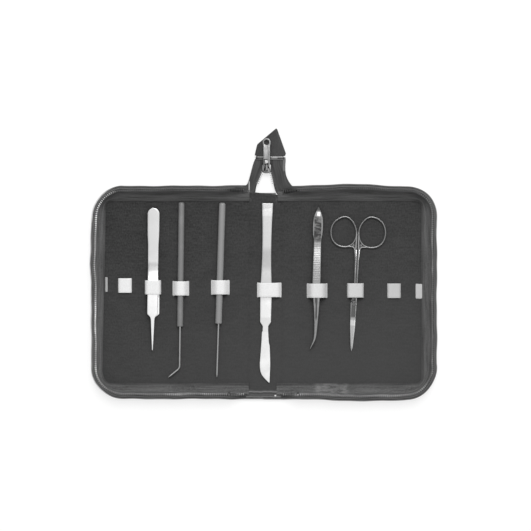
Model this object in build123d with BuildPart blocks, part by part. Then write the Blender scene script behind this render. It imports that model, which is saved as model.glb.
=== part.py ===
"""Zip-around surgical instrument case, lying open like a book, with its instruments.

Frame: origin on the underside of the spine, at its middle. +X across the two halves, +Y to the
zip tongue, +Z up. Millimetres. A tray is built for the right half and mirrored for the left one.
In the rim profiles, u is the distance inward from the outline of a half.
"""

import os
from math import atan2, cos, degrees, floor, radians, sin, tan

from build123d import *

os.makedirs("parts", exist_ok=True)

# ---------------------------------------------------------------- driving dimensions
# Case
tool_room = 13.5  # from the ends of the longest tool to the outline of the case
half_width = 131.4  # from a fold line to the outer edge
spine_width = 28.0  # between the two fold lines
top_radius = 25.5  # outline corners towards the tongue
bottom_radius = 29.0  # outline corners away from it
skin_thickness = 1.2
board_thickness = 1.8
lining_thickness = 0.8
fold_gap = 0.35  # from a fold line to the edge of a skin
fold_relief = 3.6  # from a fold line to boards and linings
mitre_gap = 0.3  # between a rim and the 45 degree plane through its fold
# Rim
half_gap = 0.4  # between the tops of the teeth and the middle of the closed case
piping_radius = 1.25
piping_flange_width = 4.0
piping_flange_thickness = 0.5
gusset_thickness = 1.0
gusset_bulge = 0.8
gusset_drop = 0.4  # of the gusset's top edge below the teeth
tape_thickness = 0.7
tape_reach = 12.6  # u of the inner edge of the zip tape
tape_line = 4.1  # u of the outer face of the tape where it stands upright
# Zip
tooth_pitch = 2.5
tooth_width = 1.8  # through the thickness of the chain
tooth_height = 2.0  # out from the edge of the tape
tooth_length = 1.15  # along the chain
# Spine
spine_bottom_inset = 1.0  # of the spine's skin from the outline at the bottom end
spine_top_inset = 5.0  # and at the tongue end
spine_lap = 5.6  # length of the tongue's tape that lies on the spine's board
spine_seam = 2.0  # from the skin's edge to board and lining
end_gusset_top = 4.6  # width of the top edge of an end gusset
end_gusset_thickness = 1.0
# Elastic
band_width = 12.6
band_thickness = 0.8
band_y = {"left": 4.1, "spine": 2.6, "right": 1.7}  # middle of the band in each section
slit_width = 2.0
channel_depth = 1.1
rest_clearance = 0.05
loop_room = 0.4  # above an instrument inside its loop
# Tongue
chain_x = 2.6  # axis of the closed chain
tape_gap = 3.0  # between the tape's edges where the chain is closed
vee_reach = 17.5  # from the case's outline to where the two rows part
vee_start = 1.0  # and to the last teeth of the vee
vee_angle_left = 24.0
vee_angle_right = 20.0
slider_reach = 11.0  # from the case's outline to the mouth of the slider
slider_length = 8.2
slider_width = 7.6
slider_plate = 1.0
slider_flange = 0.7
bridge_width = 1.8
bridge_height = 2.6
clamp_reach = 22.2  # from the case's outline to the clamp
clamp_length = 3.0
clamp_left = -6.6
clamp_right = 17.0
clamp_thickness = 0.5
tab_tip_x = 10.8
tab_length = 23.6
pull_length = 23.5  # from its pivot to its end
pull_width = 6.9
pull_strap = 5.9
pull_thickness = 0.9
pull_hole = 4.2
# Instruments, and where each lies
forceps_from_edge = 52.6  # X from the outer edge of the left half
bent_needle_from_edge = 75.7
straight_needle_from_fold = 22.8
curved_from_fold = 30.2
scissors_from_curved = 33.0
left_spare_from_edge = 28.9  # empty loops
right_spare_from_edge = 35.6
forceps_length = 119.3
forceps_width = 10.0
arm_thickness = 1.2
forceps_bow = 2.0  # half of the widest gap between the arms
needle_room = 13.5  # from the ends of the needles to the outline of the case
bent_handle_diameter = 5.0
straight_handle_diameter = 5.5
wire_diameter = 1.5
point_length = 2.4
point_taper = 14.5
scalpel_length = 151.0
scalpel_width = 9.9
scalpel_thickness = 2.8
scalpel_blade = 51.0  # from the handle's shoulder to the tip
scalpel_neck = 3.6  # length of the slope from the shoulder to the neck
blade_thickness = 0.9
curved_length = 119.3
curved_width = 7.6
scissors_length = 114.0
shank_thickness = 2.6
ring_width = 22.8
ring_length = 26.0
ring_wire = 1.6
ring_from_band = 49.0  # from the band's middle to the middle of the rings
screw_from_band = 11.7
screw_aside = 0.9  # of the screw from the axis of the rings

# ---------------------------------------------------------------- derived places
case_length = scalpel_length + 2 * tool_room
fold_x = spine_width / 2
outer_x = fold_x + half_width
edge_y = case_length / 2
fold_z = skin_thickness / 2
rim_height = fold_x + fold_z - half_gap
board_z = skin_thickness
lining_z = board_z + board_thickness
floor_z = lining_z + lining_thickness
rest_z = floor_z + rest_clearance
panel_inset = 2 * piping_radius - 0.2
seam_u = 2 * piping_radius + 0.1
board_inset = seam_u + piping_flange_width - 0.1
tooth_root_z = rim_height - tooth_height
gusset_height = tooth_root_z - gusset_drop
chain_u = tape_line + tape_thickness / 2
profile_plane = Plane(origin=(fold_x, edge_y, 0), x_dir=(0, -1, 0), z_dir=(-1, 0, 0))
mitre_plane = Plane(origin=(fold_x + mitre_gap, 0, fold_z), z_dir=(1, 0, -1))
sides = ("right", "left")


def half_points(inset, start):
    """The three-sided outline of a half, inset by u, from the fold side and back to it."""
    return [
        (start, edge_y - inset),
        (outer_x - inset, edge_y - inset),
        (outer_x - inset, -edge_y + inset),
        (start, -edge_y + inset),
    ]


def corner_radii(inset):
    """Radii of the two outer corners of a half at this inset."""
    return [top_radius - inset, bottom_radius - inset]


def half_panel(inset, start, z, thickness):
    """A flat panel that fills a half, inset by u, as a private solid."""
    with BuildPart(mode=Mode.PRIVATE) as panel:
        with BuildSketch(Plane.XY.offset(z)):
            with BuildLine():
                FilletPolyline(*half_points(inset, start), radius=corner_radii(inset))
                Line((start, -edge_y + inset), (start, edge_y - inset))
            make_face()
        extrude(amount=thickness)
    return panel.part


# ---------------------------------------------------------------- the loops of the band
forceps_x = forceps_from_edge - outer_x
bent_needle_x = bent_needle_from_edge - outer_x
straight_needle_x = -fold_x - straight_needle_from_fold
scalpel_x = 2.2
curved_x = fold_x + curved_from_fold
scissors_x = curved_x + scissors_from_curved
over_band = band_thickness + loop_room
arms_height = 2 * (arm_thickness + forceps_bow)
spare_height = 2.2
# Middle, width over the slits, width of its flat top, height over the lining
loops = {
    "left": [
        (left_spare_from_edge - outer_x, 11.4, 9.0, spare_height),
        (forceps_x - 0.2, forceps_width + 3.4, forceps_width + 1.8, arms_height + over_band),
        (bent_needle_x, 13.9, bent_handle_diameter + 0.4, bent_handle_diameter + over_band),
        (straight_needle_x + 0.5, 15.6, straight_handle_diameter + 0.4, straight_handle_diameter + over_band),
    ],
    "spine": [(scalpel_x - 0.7, 15.4, 12.4, scalpel_thickness + over_band)],
    "right": [
        (curved_x + 0.4, 17.3, curved_width + 1.0, arms_height + over_band),
        (scissors_x + 0.2, 13.8, 9.4, shank_thickness + over_band),
        (outer_x - right_spare_from_edge, 11.3, 9.0, spare_height),
    ],
}
hidden_z = lining_z - channel_depth / 2
tuck_x = outer_x - tape_reach - band_thickness / 2 - 0.2


def band_points(loop_list, start, end):
    """The middle line of the band in the XZ plane, up through the lining at each loop."""
    points = [(start, hidden_z)]
    for middle, width, top_width, height in loop_list:
        top_z = floor_z + height - band_thickness / 2
        points += [
            (middle - width / 2 + band_thickness / 2, hidden_z),
            (middle - top_width / 2, top_z),
            (middle + top_width / 2, top_z),
            (middle + width / 2 - band_thickness / 2, hidden_z),
        ]
    return points + [(end, hidden_z)]


def slit_centres(section):
    """X of every slit: one on either side of each loop, and one for a half's tucked end."""
    centres = {"left": [-tuck_x + 3.5], "spine": [], "right": [tuck_x - 3.5]}[section]
    for middle, width, top_width, height in loops[section]:
        lean = (width - top_width) / 2 / (height + floor_z - hidden_z)
        reach = width / 2 - lean * (floor_z - hidden_z) / 2
        centres += [middle - reach + 0.3, middle + reach - 0.3]
    return centres


def cut_slits(section):
    """Cut the slits of a section's loops through the lining that is being built."""
    spots = [(x, band_y[section]) for x in slit_centres(section)]
    with BuildSketch(Plane.XY.offset(lining_z)) as slits:
        with Locations(*spots):
            Rectangle(slit_width, band_width + 0.8)
    extrude(slits.sketch, amount=lining_thickness, mode=Mode.SUBTRACT)


def cut_channel(section, start, end):
    """Cut the shallow channel for the hidden runs of the band into the board being built."""
    with BuildSketch(Plane.XY.offset(lining_z)) as channel:
        with Locations(((start + end) / 2, band_y[section])):
            Rectangle(abs(end - start), band_width + 1)
    extrude(channel.sketch, amount=-channel_depth, mode=Mode.SUBTRACT)


# ---------------------------------------------------------------- trays
for side in sides:
    mirrored = side == "left"
    lining_start = fold_x + fold_relief

    with BuildPart() as cover:
        add(half_panel(panel_inset, fold_x + fold_gap, 0, skin_thickness))
        fold_edges = cover.edges().filter_by(Axis.Y).group_by(Axis.X)[0]
        fillet(fold_edges, radius=skin_thickness / 2 - 0.02)
        if mirrored:
            mirror(about=Plane.YZ, mode=Mode.REPLACE)
    cover.part.label = f"{side}_cover"
    export_step(cover.part, f"parts/{side}_cover.step")

    with BuildPart() as board:
        add(half_panel(board_inset, lining_start, board_z, board_thickness))
        if mirrored:
            mirror(about=Plane.YZ, mode=Mode.REPLACE)
        band_end = outer_x - tape_reach - 1
        channel_ends = (-band_end, -lining_start) if mirrored else (lining_start, band_end)
        cut_channel(side, *channel_ends)
    board.part.label = f"{side}_board"
    export_step(board.part, f"parts/{side}_board.step")

    with BuildPart() as lining:
        add(half_panel(board_inset, lining_start, lining_z, lining_thickness))
        if mirrored:
            mirror(about=Plane.YZ, mode=Mode.REPLACE)
        cut_slits(side)
    lining.part.label = f"{side}_lining"
    export_step(lining.part, f"parts/{side}_lining.step")

    # Piping: a round bead outside the seam, with a flange sewn between cover and gusset
    with BuildPart() as piping:
        with BuildLine() as outline:
            FilletPolyline(*half_points(0, fold_x), radius=corner_radii(0))
        with BuildSketch(profile_plane):
            with Locations((piping_radius, piping_radius + 0.7)):
                RegularPolygon(piping_radius, 8, rotation=22.5)
            with Locations((seam_u + piping_flange_width / 2 - 0.5, board_z)):
                Rectangle(
                    piping_flange_width + 1 - 0.2,
                    piping_flange_thickness,
                    align=(Align.CENTER, Align.MIN),
                )
        sweep(path=outline.wires()[0], transition=Transition.ROUND)
        split(bisect_by=mitre_plane, keep=Keep.TOP)
        if mirrored:
            mirror(about=Plane.YZ, mode=Mode.REPLACE)
    piping.part.label = f"{side}_piping"
    export_step(piping.part, f"parts/{side}_piping.step")

    # Gusset: the side wall, with a foot on the piping's flange, bulging out and back to the tape
    foot_z = board_z + piping_flange_thickness
    knee_z = 2 * piping_radius + 0.8
    with BuildPart() as gusset:
        with BuildLine() as outline:
            FilletPolyline(*half_points(0, fold_x), radius=corner_radii(0))
        with BuildSketch(profile_plane):
            with BuildLine():
                outer_foot = (seam_u, foot_z)
                outer_knee = (seam_u, knee_z)
                bulge_z = gusset_height * 0.62
                outer_bulge = (seam_u - gusset_bulge, bulge_z)
                outer_top = (tape_line - gusset_thickness, gusset_height)
                inner_top = (tape_line, gusset_height)
                inner_bulge = (seam_u - gusset_bulge + gusset_thickness, bulge_z)
                inner_knee = (seam_u + gusset_thickness, knee_z)
                inner_foot = (seam_u + gusset_thickness, foot_z + gusset_thickness)
                foot_end = (seam_u + piping_flange_width - 0.2, foot_z + gusset_thickness)
                foot_corner = (seam_u + piping_flange_width - 0.2, foot_z)
                Polyline(outer_foot, outer_knee, outer_bulge, outer_top, inner_top)
                Polyline(inner_top, inner_bulge, inner_knee, inner_foot, foot_end, foot_corner, outer_foot)
            make_face()
        sweep(path=outline.wires()[0], transition=Transition.ROUND)
        split(bisect_by=mitre_plane, keep=Keep.TOP)
        if mirrored:
            mirror(about=Plane.YZ, mode=Mode.REPLACE)
    gusset.part.label = f"{side}_gusset"
    export_step(gusset.part, f"parts/{side}_gusset.step")

    # Zip tape: sewn to the lining by its foot, up and out to the gusset's top edge
    upright_z = gusset_height - 1.6
    with BuildPart() as zip_tape:
        with BuildLine() as outline:
            FilletPolyline(*half_points(0, fold_x), radius=corner_radii(0))
        with BuildSketch(profile_plane):
            with BuildLine():
                Polyline(
                    (tape_line, tooth_root_z),
                    (tape_line, upright_z),
                    (tape_reach - 1.6, floor_z),
                    (tape_reach, floor_z),
                    (tape_reach, floor_z + tape_thickness),
                    (tape_reach - 1.4, floor_z + tape_thickness),
                    (tape_line + tape_thickness, upright_z + 0.35),
                    (tape_line + tape_thickness, tooth_root_z),
                    close=True,
                )
            make_face()
        sweep(path=outline.wires()[0], transition=Transition.ROUND)
        split(bisect_by=mitre_plane, keep=Keep.TOP)
        if mirrored:
            mirror(about=Plane.YZ, mode=Mode.REPLACE)
    zip_tape.part.label = f"{side}_zip_tape"
    export_step(zip_tape.part, f"parts/{side}_zip_tape.step")

    # Zip teeth: one row on the tape's upper edge, all round the half
    row_start = fold_x + rim_height - fold_z + mitre_gap + tooth_length
    with BuildPart() as zip_teeth:
        with BuildLine() as row:
            FilletPolyline(*half_points(chain_u, row_start), radius=corner_radii(chain_u))
        row_wire = row.wires()[0]
        tooth_count = floor(row_wire.length / tooth_pitch)
        places = []
        for i in range(tooth_count):
            along = (i + 0.5) / tooth_count
            spot = row_wire.position_at(along)
            heading = row_wire.tangent_at(along)
            places.append(Location((spot.X, spot.Y, tooth_root_z), (0, 0, degrees(atan2(heading.Y, heading.X)))))
        with Locations(*places):
            Box(
                tooth_length,
                tooth_width,
                tooth_height,
                align=(Align.CENTER, Align.CENTER, Align.MIN),
            )
        if mirrored:
            mirror(about=Plane.YZ, mode=Mode.REPLACE)
    zip_teeth.part.label = f"{side}_zip_teeth"
    export_step(zip_teeth.part, f"parts/{side}_zip_teeth.step")

    # Elastic band: one strip woven up and down through the slits
    if mirrored:
        line = band_points(loops[side], -tuck_x + 4.5, -lining_start - 0.3)
        line = [(-tuck_x, floor_z + band_thickness / 2), (-tuck_x + 2.6, floor_z + band_thickness / 2)] + line
    else:
        line = band_points(loops[side], lining_start + 0.3, tuck_x - 4.5)
        line += [(tuck_x - 2.6, floor_z + band_thickness / 2), (tuck_x, floor_z + band_thickness / 2)]
    with BuildPart() as elastic:
        with BuildSketch(Plane.XZ.offset(-band_y[side])):
            with BuildLine():
                middle_line = Polyline(*line, mode=Mode.PRIVATE)
                offset(middle_line, amount=band_thickness / 2, side=Side.BOTH, kind=Kind.INTERSECTION)
            make_face()
        extrude(amount=band_width / 2, both=True)
    elastic.part.label = f"{side}_elastic"
    export_step(elastic.part, f"parts/{side}_elastic.step")

    # Stop: a small crimped block at the end of the row that is away from the tongue
    with BuildPart() as top_stop:
        with Locations((row_start - 0.1, -edge_y + chain_u, tooth_root_z)):
            Box(1.3, tooth_width + 0.3, tooth_height - 0.3, align=(Align.CENTER, Align.CENTER, Align.MIN))
        if mirrored:
            mirror(about=Plane.YZ, mode=Mode.REPLACE)
    top_stop.part.label = f"{side}_top_stop"
    export_step(top_stop.part, f"parts/{side}_top_stop.step")

# ---------------------------------------------------------------- spine
spine_low = -edge_y + spine_bottom_inset
spine_high = edge_y - spine_top_inset
board_low = spine_low + spine_seam
board_high = spine_high - 0.5
lining_high = board_high - spine_lap
board_half = fold_x - fold_relief

with BuildPart() as spine_cover:
    with BuildSketch():
        with Locations((0, (spine_low + spine_high) / 2)):
            Rectangle(2 * (fold_x - fold_gap), spine_high - spine_low)
    extrude(amount=skin_thickness)
    long_edges = spine_cover.edges().filter_by(Axis.Y)
    fillet(long_edges, radius=skin_thickness / 2 - 0.02)
spine_cover.part.label = "spine_cover"
export_step(spine_cover.part, "parts/spine_cover.step")

with BuildPart() as spine_board:
    with BuildSketch(Plane.XY.offset(board_z)):
        with Locations((0, (board_low + board_high) / 2)):
            Rectangle(2 * board_half, board_high - board_low)
    extrude(amount=board_thickness)
    cut_channel("spine", -board_half, board_half)
spine_board.part.label = "spine_board"
export_step(spine_board.part, "parts/spine_board.step")

with BuildPart() as spine_lining:
    with BuildSketch(Plane.XY.offset(lining_z)):
        with Locations((0, (board_low + lining_high) / 2)):
            Rectangle(2 * board_half, lining_high - board_low)
    extrude(amount=lining_thickness)
    cut_slits("spine")
spine_lining.part.label = "spine_lining"
export_step(spine_lining.part, "parts/spine_lining.step")

with BuildPart() as spine_elastic:
    with BuildSketch(Plane.XZ.offset(-band_y["spine"])):
        with BuildLine():
            middle_line = Polyline(
                *band_points(loops["spine"], -board_half + 0.3, board_half - 0.3),
                mode=Mode.PRIVATE,
            )
            offset(middle_line, amount=band_thickness / 2, side=Side.BOTH, kind=Kind.INTERSECTION)
        make_face()
    extrude(amount=band_width / 2, both=True)
spine_elastic.part.label = "spine_elastic"
export_step(spine_elastic.part, "parts/spine_elastic.step")

# End gussets: webs that close the corners between the halves' mitred rims when the case is shut
end_gusset_places = {
    "bottom": board_low + end_gusset_thickness,
    "top": lining_high - 0.5,
}
for end, face_y in end_gusset_places.items():
    foot_half = fold_x - (floor_z - fold_z) - 0.5
    end_gusset_height = foot_half - end_gusset_top / 2
    with BuildPart() as end_gusset:
        with BuildSketch(Plane.XZ.offset(-face_y)):
            with BuildLine():
                Polyline(
                    (-foot_half, floor_z),
                    (foot_half, floor_z),
                    (foot_half - end_gusset_height, floor_z + end_gusset_height),
                    (-foot_half + end_gusset_height, floor_z + end_gusset_height),
                    close=True,
                )
            make_face()
        extrude(amount=end_gusset_thickness)
    end_gusset.part.label = f"spine_gusset_{end}"
    export_step(end_gusset.part, f"parts/spine_gusset_{end}.step")

# ---------------------------------------------------------------- zip tongue
# The flaring outer edges are (X, distance from the case's outline)
tongue_z = lining_z
chain_z = tongue_z + tape_thickness / 2
tongue_plane = Plane.XY.offset(tongue_z)
vee_y = edge_y + vee_reach
vee_end_y = edge_y + vee_start
slider_y = edge_y + slider_reach
clamp_y = edge_y + clamp_reach
clamp_mid = clamp_y + clamp_length / 2
clamp_end = clamp_y + clamp_length
tongue_edges = {
    "left": (-1, vee_angle_left, [(-9.4, 17), (-11.9, 10.3), (-13.3, 3)]),
    "right": (1, vee_angle_right, [(17.6, 17), (18.5, 10), (20.6, 5.2), (22.4, 2.4)]),
}
for side, (sign, vee_angle, flare) in tongue_edges.items():
    clamp_side = clamp_left + 0.6 if side == "left" else clamp_right - 0.6
    flare = [(clamp_side, clamp_reach - 0.3)] + flare
    outer_edge = [(x, edge_y + reach) for x, reach in reversed(flare)]
    edge_x = chain_x + sign * tape_gap / 2
    vee_end_x = edge_x + sign * (vee_y - vee_end_y) * tan(radians(vee_angle))
    lap_x = sign * board_half

    with BuildPart() as tongue_tape:
        with BuildSketch(tongue_plane):
            with BuildLine():
                Polyline(
                    (edge_x, clamp_mid),
                    (edge_x, vee_y),
                    (vee_end_x, vee_end_y),
                    (lap_x - sign * 2.8, spine_high),
                    (lap_x - sign * 2.8, lining_high + 0.2),
                    (lap_x, lining_high + 0.2),
                    (lap_x, edge_y + 0.6),
                    *outer_edge,
                    (outer_edge[-1][0], clamp_mid),
                    close=True,
                )
            make_face()
        extrude(amount=tape_thickness)
    tongue_tape.part.label = f"tongue_tape_{side}"
    export_step(tongue_tape.part, f"parts/tongue_tape_{side}.step")

    # Teeth: straight along the closed chain, then along the vee, each from the tape's edge inwards
    tooth_places = []
    first = 0.7 if side == "left" else 0.7 + tooth_pitch / 2
    closed_count = floor((clamp_y - vee_y - first - tooth_length / 2) / tooth_pitch) + 1
    for i in range(closed_count):
        tooth_places.append(Location((edge_x, vee_y + first + i * tooth_pitch, chain_z), (0, 0, 0)))
    vee_length = (vee_y - vee_end_y) / cos(radians(vee_angle))
    for i in range(floor((vee_length - 1.5) / tooth_pitch)):
        along = tooth_pitch - first + i * tooth_pitch
        spot = (
            edge_x + sign * along * sin(radians(vee_angle)),
            vee_y - along * cos(radians(vee_angle)),
            chain_z,
        )
        tooth_places.append(Location(spot, (0, 0, sign * vee_angle)))
    with BuildPart() as tongue_teeth:
        for place in tooth_places:
            with BuildSketch(Plane(place).offset(-tooth_width / 2)):
                with BuildLine():
                    tip = -sign * tooth_height
                    Polyline(
                        (0, -tooth_length / 2),
                        (0, tooth_length / 2),
                        (tip * 0.5, tooth_length / 2 - 0.12),
                        (tip * 0.75, tooth_length / 2),
                        (tip, tooth_length / 4),
                        (tip, -tooth_length / 4),
                        (tip * 0.75, -tooth_length / 2),
                        (tip * 0.5, -tooth_length / 2 + 0.12),
                        close=True,
                    )
                make_face()
            extrude(amount=tooth_width)
    tongue_teeth.part.label = f"tongue_teeth_{side}"
    export_step(tongue_teeth.part, f"parts/tongue_teeth_{side}.step")

# End clamp: a flattened metal loop round the ends of the tape and of the tab
tab_thickness = tape_thickness + 0.8
cavity_z = chain_z - tab_thickness / 2
with BuildPart() as end_clamp:
    clamp_centre = ((clamp_left + clamp_right) / 2, clamp_mid, chain_z)
    with Locations(clamp_centre):
        Box(clamp_right - clamp_left, clamp_length, tab_thickness + 2 * clamp_thickness)
        fillet(end_clamp.edges().filter_by(Axis.Y), radius=0.8)
        Box(
            clamp_right - clamp_left - 2 * clamp_thickness,
            clamp_length,
            tab_thickness,
            mode=Mode.SUBTRACT,
        )
end_clamp.part.label = "end_clamp"
export_step(end_clamp.part, "parts/end_clamp.step")

# End tab: a lopsided leatherette pentagon beyond the clamp
with BuildPart() as end_tab:
    with BuildSketch(Plane.XY.offset(cavity_z)):
        with BuildLine():
            Polyline(
                (clamp_left + 0.7, clamp_mid),
                (clamp_left + 0.7, clamp_end + 0.1),
                (clamp_left - 0.8, clamp_end + 1.2),
                (clamp_left + 1.2, clamp_end + tab_length * 0.41),
                (clamp_left + 1.9, clamp_end + tab_length * 0.45),
                (tab_tip_x - 1.2, clamp_end + tab_length - 0.9),
                (tab_tip_x, clamp_end + tab_length),
                (tab_tip_x + 0.8, clamp_end + tab_length - 0.8),
                (clamp_right + 1.9, clamp_end + 2.4),
                (clamp_right + 1.2, clamp_end + 0.3),
                (clamp_right - 0.7, clamp_end + 0.1),
                (clamp_right - 0.7, clamp_mid),
                close=True,
            )
        make_face()
    extrude(amount=tab_thickness)
end_tab.part.label = "end_tab"
export_step(end_tab.part, "parts/end_tab.step")

# Slider: two plates joined by a wedge between the rows, with side flanges behind it and a bridge
tooth_clearance = 0.2
upper_plate_z = chain_z + tooth_width / 2 + tooth_clearance
lower_plate_z = chain_z - tooth_width / 2 - tooth_clearance - slider_plate
slider_rear = slider_y + slider_length
flange_y = slider_y + 3.7
bridge_front = slider_y + 1.6
bridge_rear = slider_rear - 0.2
bridge_top = upper_plate_z + slider_plate + bridge_height
eye_width = bridge_width + 1.0
with BuildPart() as slider_body:
    for plate_z in (lower_plate_z, upper_plate_z):
        with BuildSketch(Plane.XY.offset(plate_z)):
            with BuildLine():
                Polyline(
                    (chain_x - slider_width / 2 + 2.4, slider_y),
                    (chain_x + slider_width / 2 - 2.4, slider_y),
                    (chain_x + slider_width / 2 - 1.1, slider_y + 0.5),
                    (chain_x + slider_width / 2 - 0.3, slider_y + 1.5),
                    (chain_x + slider_width / 2, flange_y),
                    (chain_x + slider_width / 2 - 0.1, slider_rear - 0.5),
                    (chain_x + slider_width / 2 - 0.6, slider_rear),
                    (chain_x - slider_width / 2 + 0.6, slider_rear),
                    (chain_x - slider_width / 2 + 0.1, slider_rear - 0.5),
                    (chain_x - slider_width / 2, flange_y),
                    (chain_x - slider_width / 2 + 0.3, slider_y + 1.5),
                    (chain_x - slider_width / 2 + 1.1, slider_y + 0.5),
                    close=True,
                )
            make_face()
        extrude(amount=slider_plate)
    flange_x = slider_width / 2 - slider_flange / 2 - 0.1
    with BuildSketch(Plane.XY.offset(lower_plate_z + slider_plate)):
        with Locations(
            (chain_x - flange_x, (flange_y + slider_rear) / 2),
            (chain_x + flange_x, (flange_y + slider_rear) / 2),
        ):
            Rectangle(slider_flange, slider_rear - flange_y - 0.4)
    extrude(amount=tongue_z - 0.2 - lower_plate_z - slider_plate)
    with BuildSketch(Plane.XY.offset(upper_plate_z)):
        with Locations(
            (chain_x - flange_x, (flange_y + slider_rear) / 2),
            (chain_x + flange_x, (flange_y + slider_rear) / 2),
        ):
            Rectangle(slider_flange, slider_rear - flange_y - 0.4)
    extrude(amount=tongue_z + tape_thickness + 0.2 - upper_plate_z)
    with BuildSketch(Plane.XY.offset(lower_plate_z + slider_plate)):
        with BuildLine():
            Polyline(
                (chain_x - 0.4, slider_y + 0.3),
                (chain_x + 0.3, slider_y + 0.3),
                (chain_x + 0.05, slider_y + 1.9),
                (chain_x - 0.15, slider_y + 1.9),
                close=True,
            )
        make_face()
    extrude(amount=upper_plate_z - lower_plate_z - slider_plate)
    with BuildSketch(Plane.YZ.offset(chain_x)):
        with BuildLine():
            FilletPolyline(
                (bridge_front, upper_plate_z + slider_plate),
                (bridge_front + 0.4, bridge_top),
                (bridge_rear - 0.4, bridge_top),
                (bridge_rear, upper_plate_z + slider_plate),
                radius=1.0,
            )
            Line((bridge_rear, upper_plate_z + slider_plate), (bridge_front, upper_plate_z + slider_plate))
        make_face()
        with BuildLine():
            Polyline(
                (bridge_front + 1.2, upper_plate_z + slider_plate),
                (bridge_front + 1.2, bridge_top - 1.0),
                (bridge_rear - 1.2, bridge_top - 1.0),
                (bridge_rear - 1.2, upper_plate_z + slider_plate),
                close=True,
            )
        make_face(mode=Mode.SUBTRACT)
    extrude(amount=bridge_width / 2, both=True)
slider_body.part.label = "slider_body"
export_step(slider_body.part, "parts/slider_body.step")

# Pull tab: an eye round the bridge, a neck, and a round end with a hole
pivot_y = bridge_rear - 1.2 - 0.8
pivot_z = upper_plate_z + slider_plate + 0.75
eye_length = pivot_y - bridge_front + 0.9
eye_outer = pull_strap / 2
round_y = pull_length - pull_width / 2
with BuildPart() as zip_pull:
    with BuildSketch(Plane((chain_x, pivot_y, pivot_z - pull_thickness / 2))):
        with BuildLine():
            Polyline(
                (-pull_width / 2, round_y),
                (-eye_outer, round_y - 3.0),
                (-eye_outer, eye_length - 1.0),
                (-eye_outer + 0.6, -pull_thickness / 2),
                (eye_outer - 0.6, -pull_thickness / 2),
                (eye_outer, eye_length - 1.0),
                (eye_outer, round_y - 3.0),
                (pull_width / 2, round_y),
            )
            ThreePointArc((pull_width / 2, round_y), (0, pull_length), (-pull_width / 2, round_y))
        make_face()
        with Locations((0, round_y - 0.2)):
            Circle(pull_hole / 2, mode=Mode.SUBTRACT)
        with Locations((0, (eye_length + pull_thickness / 2) / 2)):
            Rectangle(eye_width, eye_length - pull_thickness / 2, mode=Mode.SUBTRACT)
    extrude(amount=pull_thickness)
zip_pull.part.label = "zip_pull"
export_step(zip_pull.part, "parts/zip_pull.step")


# ---------------------------------------------------------------- instruments
# Each lies on the lining in its own plane: origin under the band's middle, local Y up the tool
def lying(x, section, tilt):
    """The plane of an instrument that leans by tilt degrees and passes under the band at X."""
    direction = (cos(radians(tilt)), sin(radians(tilt)), 0)
    return Plane(origin=(x, band_y[section], rest_z), x_dir=direction, z_dir=(0, 0, 1))


def side_view(plane):
    """The plane across an instrument, in which X runs up the tool and Y is height."""
    return Plane(origin=plane.origin, x_dir=plane.y_dir, z_dir=plane.x_dir)


def both_sides(half_outline):
    """A closed outline from its right-hand half, as (half width, length) points from the top."""
    return [*half_outline, *[(-across, along) for across, along in reversed(half_outline)]]


forceps_plane = lying(forceps_x, "left", -0.5)
bent_needle_plane = lying(bent_needle_x, "left", -0.7)
straight_needle_plane = lying(straight_needle_x, "left", -1.8)
scalpel_plane = lying(scalpel_x, "spine", -1.0)
curved_plane = lying(curved_x, "right", -1.7)
scissors_plane = lying(scissors_x, "right", -2.6)

# Forceps: two spring arms welded at the head; the lower arm carries the head
forceps_head = 66.6  # local Y of the head's end
forceps_root = 18.7  # where the arms part
forceps_tip_gap = 1.1  # half of the gap at the points
curved_head = 69.8
curved_root = 37.9
curved_tip_gap = 1.0


def arm_side(root, tip, bow, tip_gap, up):
    """Points of an arm's inner face in side view, from the root to the tip."""
    middle = arm_thickness + bow
    heights = [0, bow * 0.62, bow, bow * 0.9, tip_gap]
    spots = [0, 0.14, 0.34, 0.62, 1]
    return [(root + (tip - root) * spot, middle + up * height) for spot, height in zip(spots, heights)]


def forceps(name, plane, outline, root, tip, head, tip_gap):
    """Write the two arms of a pair of forceps with this outline, seen from above."""
    bow = forceps_bow
    middle = arm_thickness + bow
    for arm, up in (("lower", -1), ("upper", 1)):
        inner = arm_side(root, tip, bow, tip_gap, up)
        outer = [(along, height + up * arm_thickness) for along, height in inner]
        outer[-1] = (outer[-1][0], inner[-1][1] + up * arm_thickness * 0.7)
        with BuildPart() as forceps_arm:
            with BuildSketch(plane):
                make_face(outline().edges())
            extrude(amount=2 * middle)
            with BuildSketch(side_view(plane)):
                with BuildLine():
                    root_start = inner[0]
                    Spline(*inner, tangents=((-1, up * 0.05), (-1, -up * 0.02)))
                    Line(inner[-1], outer[-1])
                    Spline(*reversed(outer), tangents=((1, up * 0.02), (1, -up * 0.05)))
                    if arm == "lower":
                        head_end = head + 1
                        Polyline(
                            outer[0],
                            (head_end, middle - arm_thickness),
                            (head_end, middle + arm_thickness),
                            (root + 0.1, middle + arm_thickness),
                            (root + 0.1, middle),
                            root_start,
                        )
                    else:
                        Line(outer[0], root_start)
                make_face()
            extrude(amount=20, both=True, mode=Mode.INTERSECT)
        forceps_arm.part.label = f"{name}_{arm}_arm"
        export_step(forceps_arm.part, f"parts/{name}_{arm}_arm.step")


def straight_outline():
    """Straight dissecting forceps: parallel sides, a shoulder and fine straight points."""
    half = forceps_width / 2
    tip = forceps_head - forceps_length
    arms = [(0.97, 43), (0.88, 35), (0.87, tip * 0.2), (0.84, tip * 0.33), (0.66, tip * 0.43)]
    points = [(0.34, tip * 0.505), (0.28, tip * 0.55), (0.22, tip * 0.68), (0.14, tip * 0.84), (0.06, tip)]
    with BuildLine() as outline:
        ThreePointArc((-half, forceps_head - half), (0, forceps_head), (half, forceps_head - half))
        right = [(half, forceps_head - half)]
        right += [(half * share, along) for share, along in arms + points]
        Polyline(*both_sides(right))
    return outline.line


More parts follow.
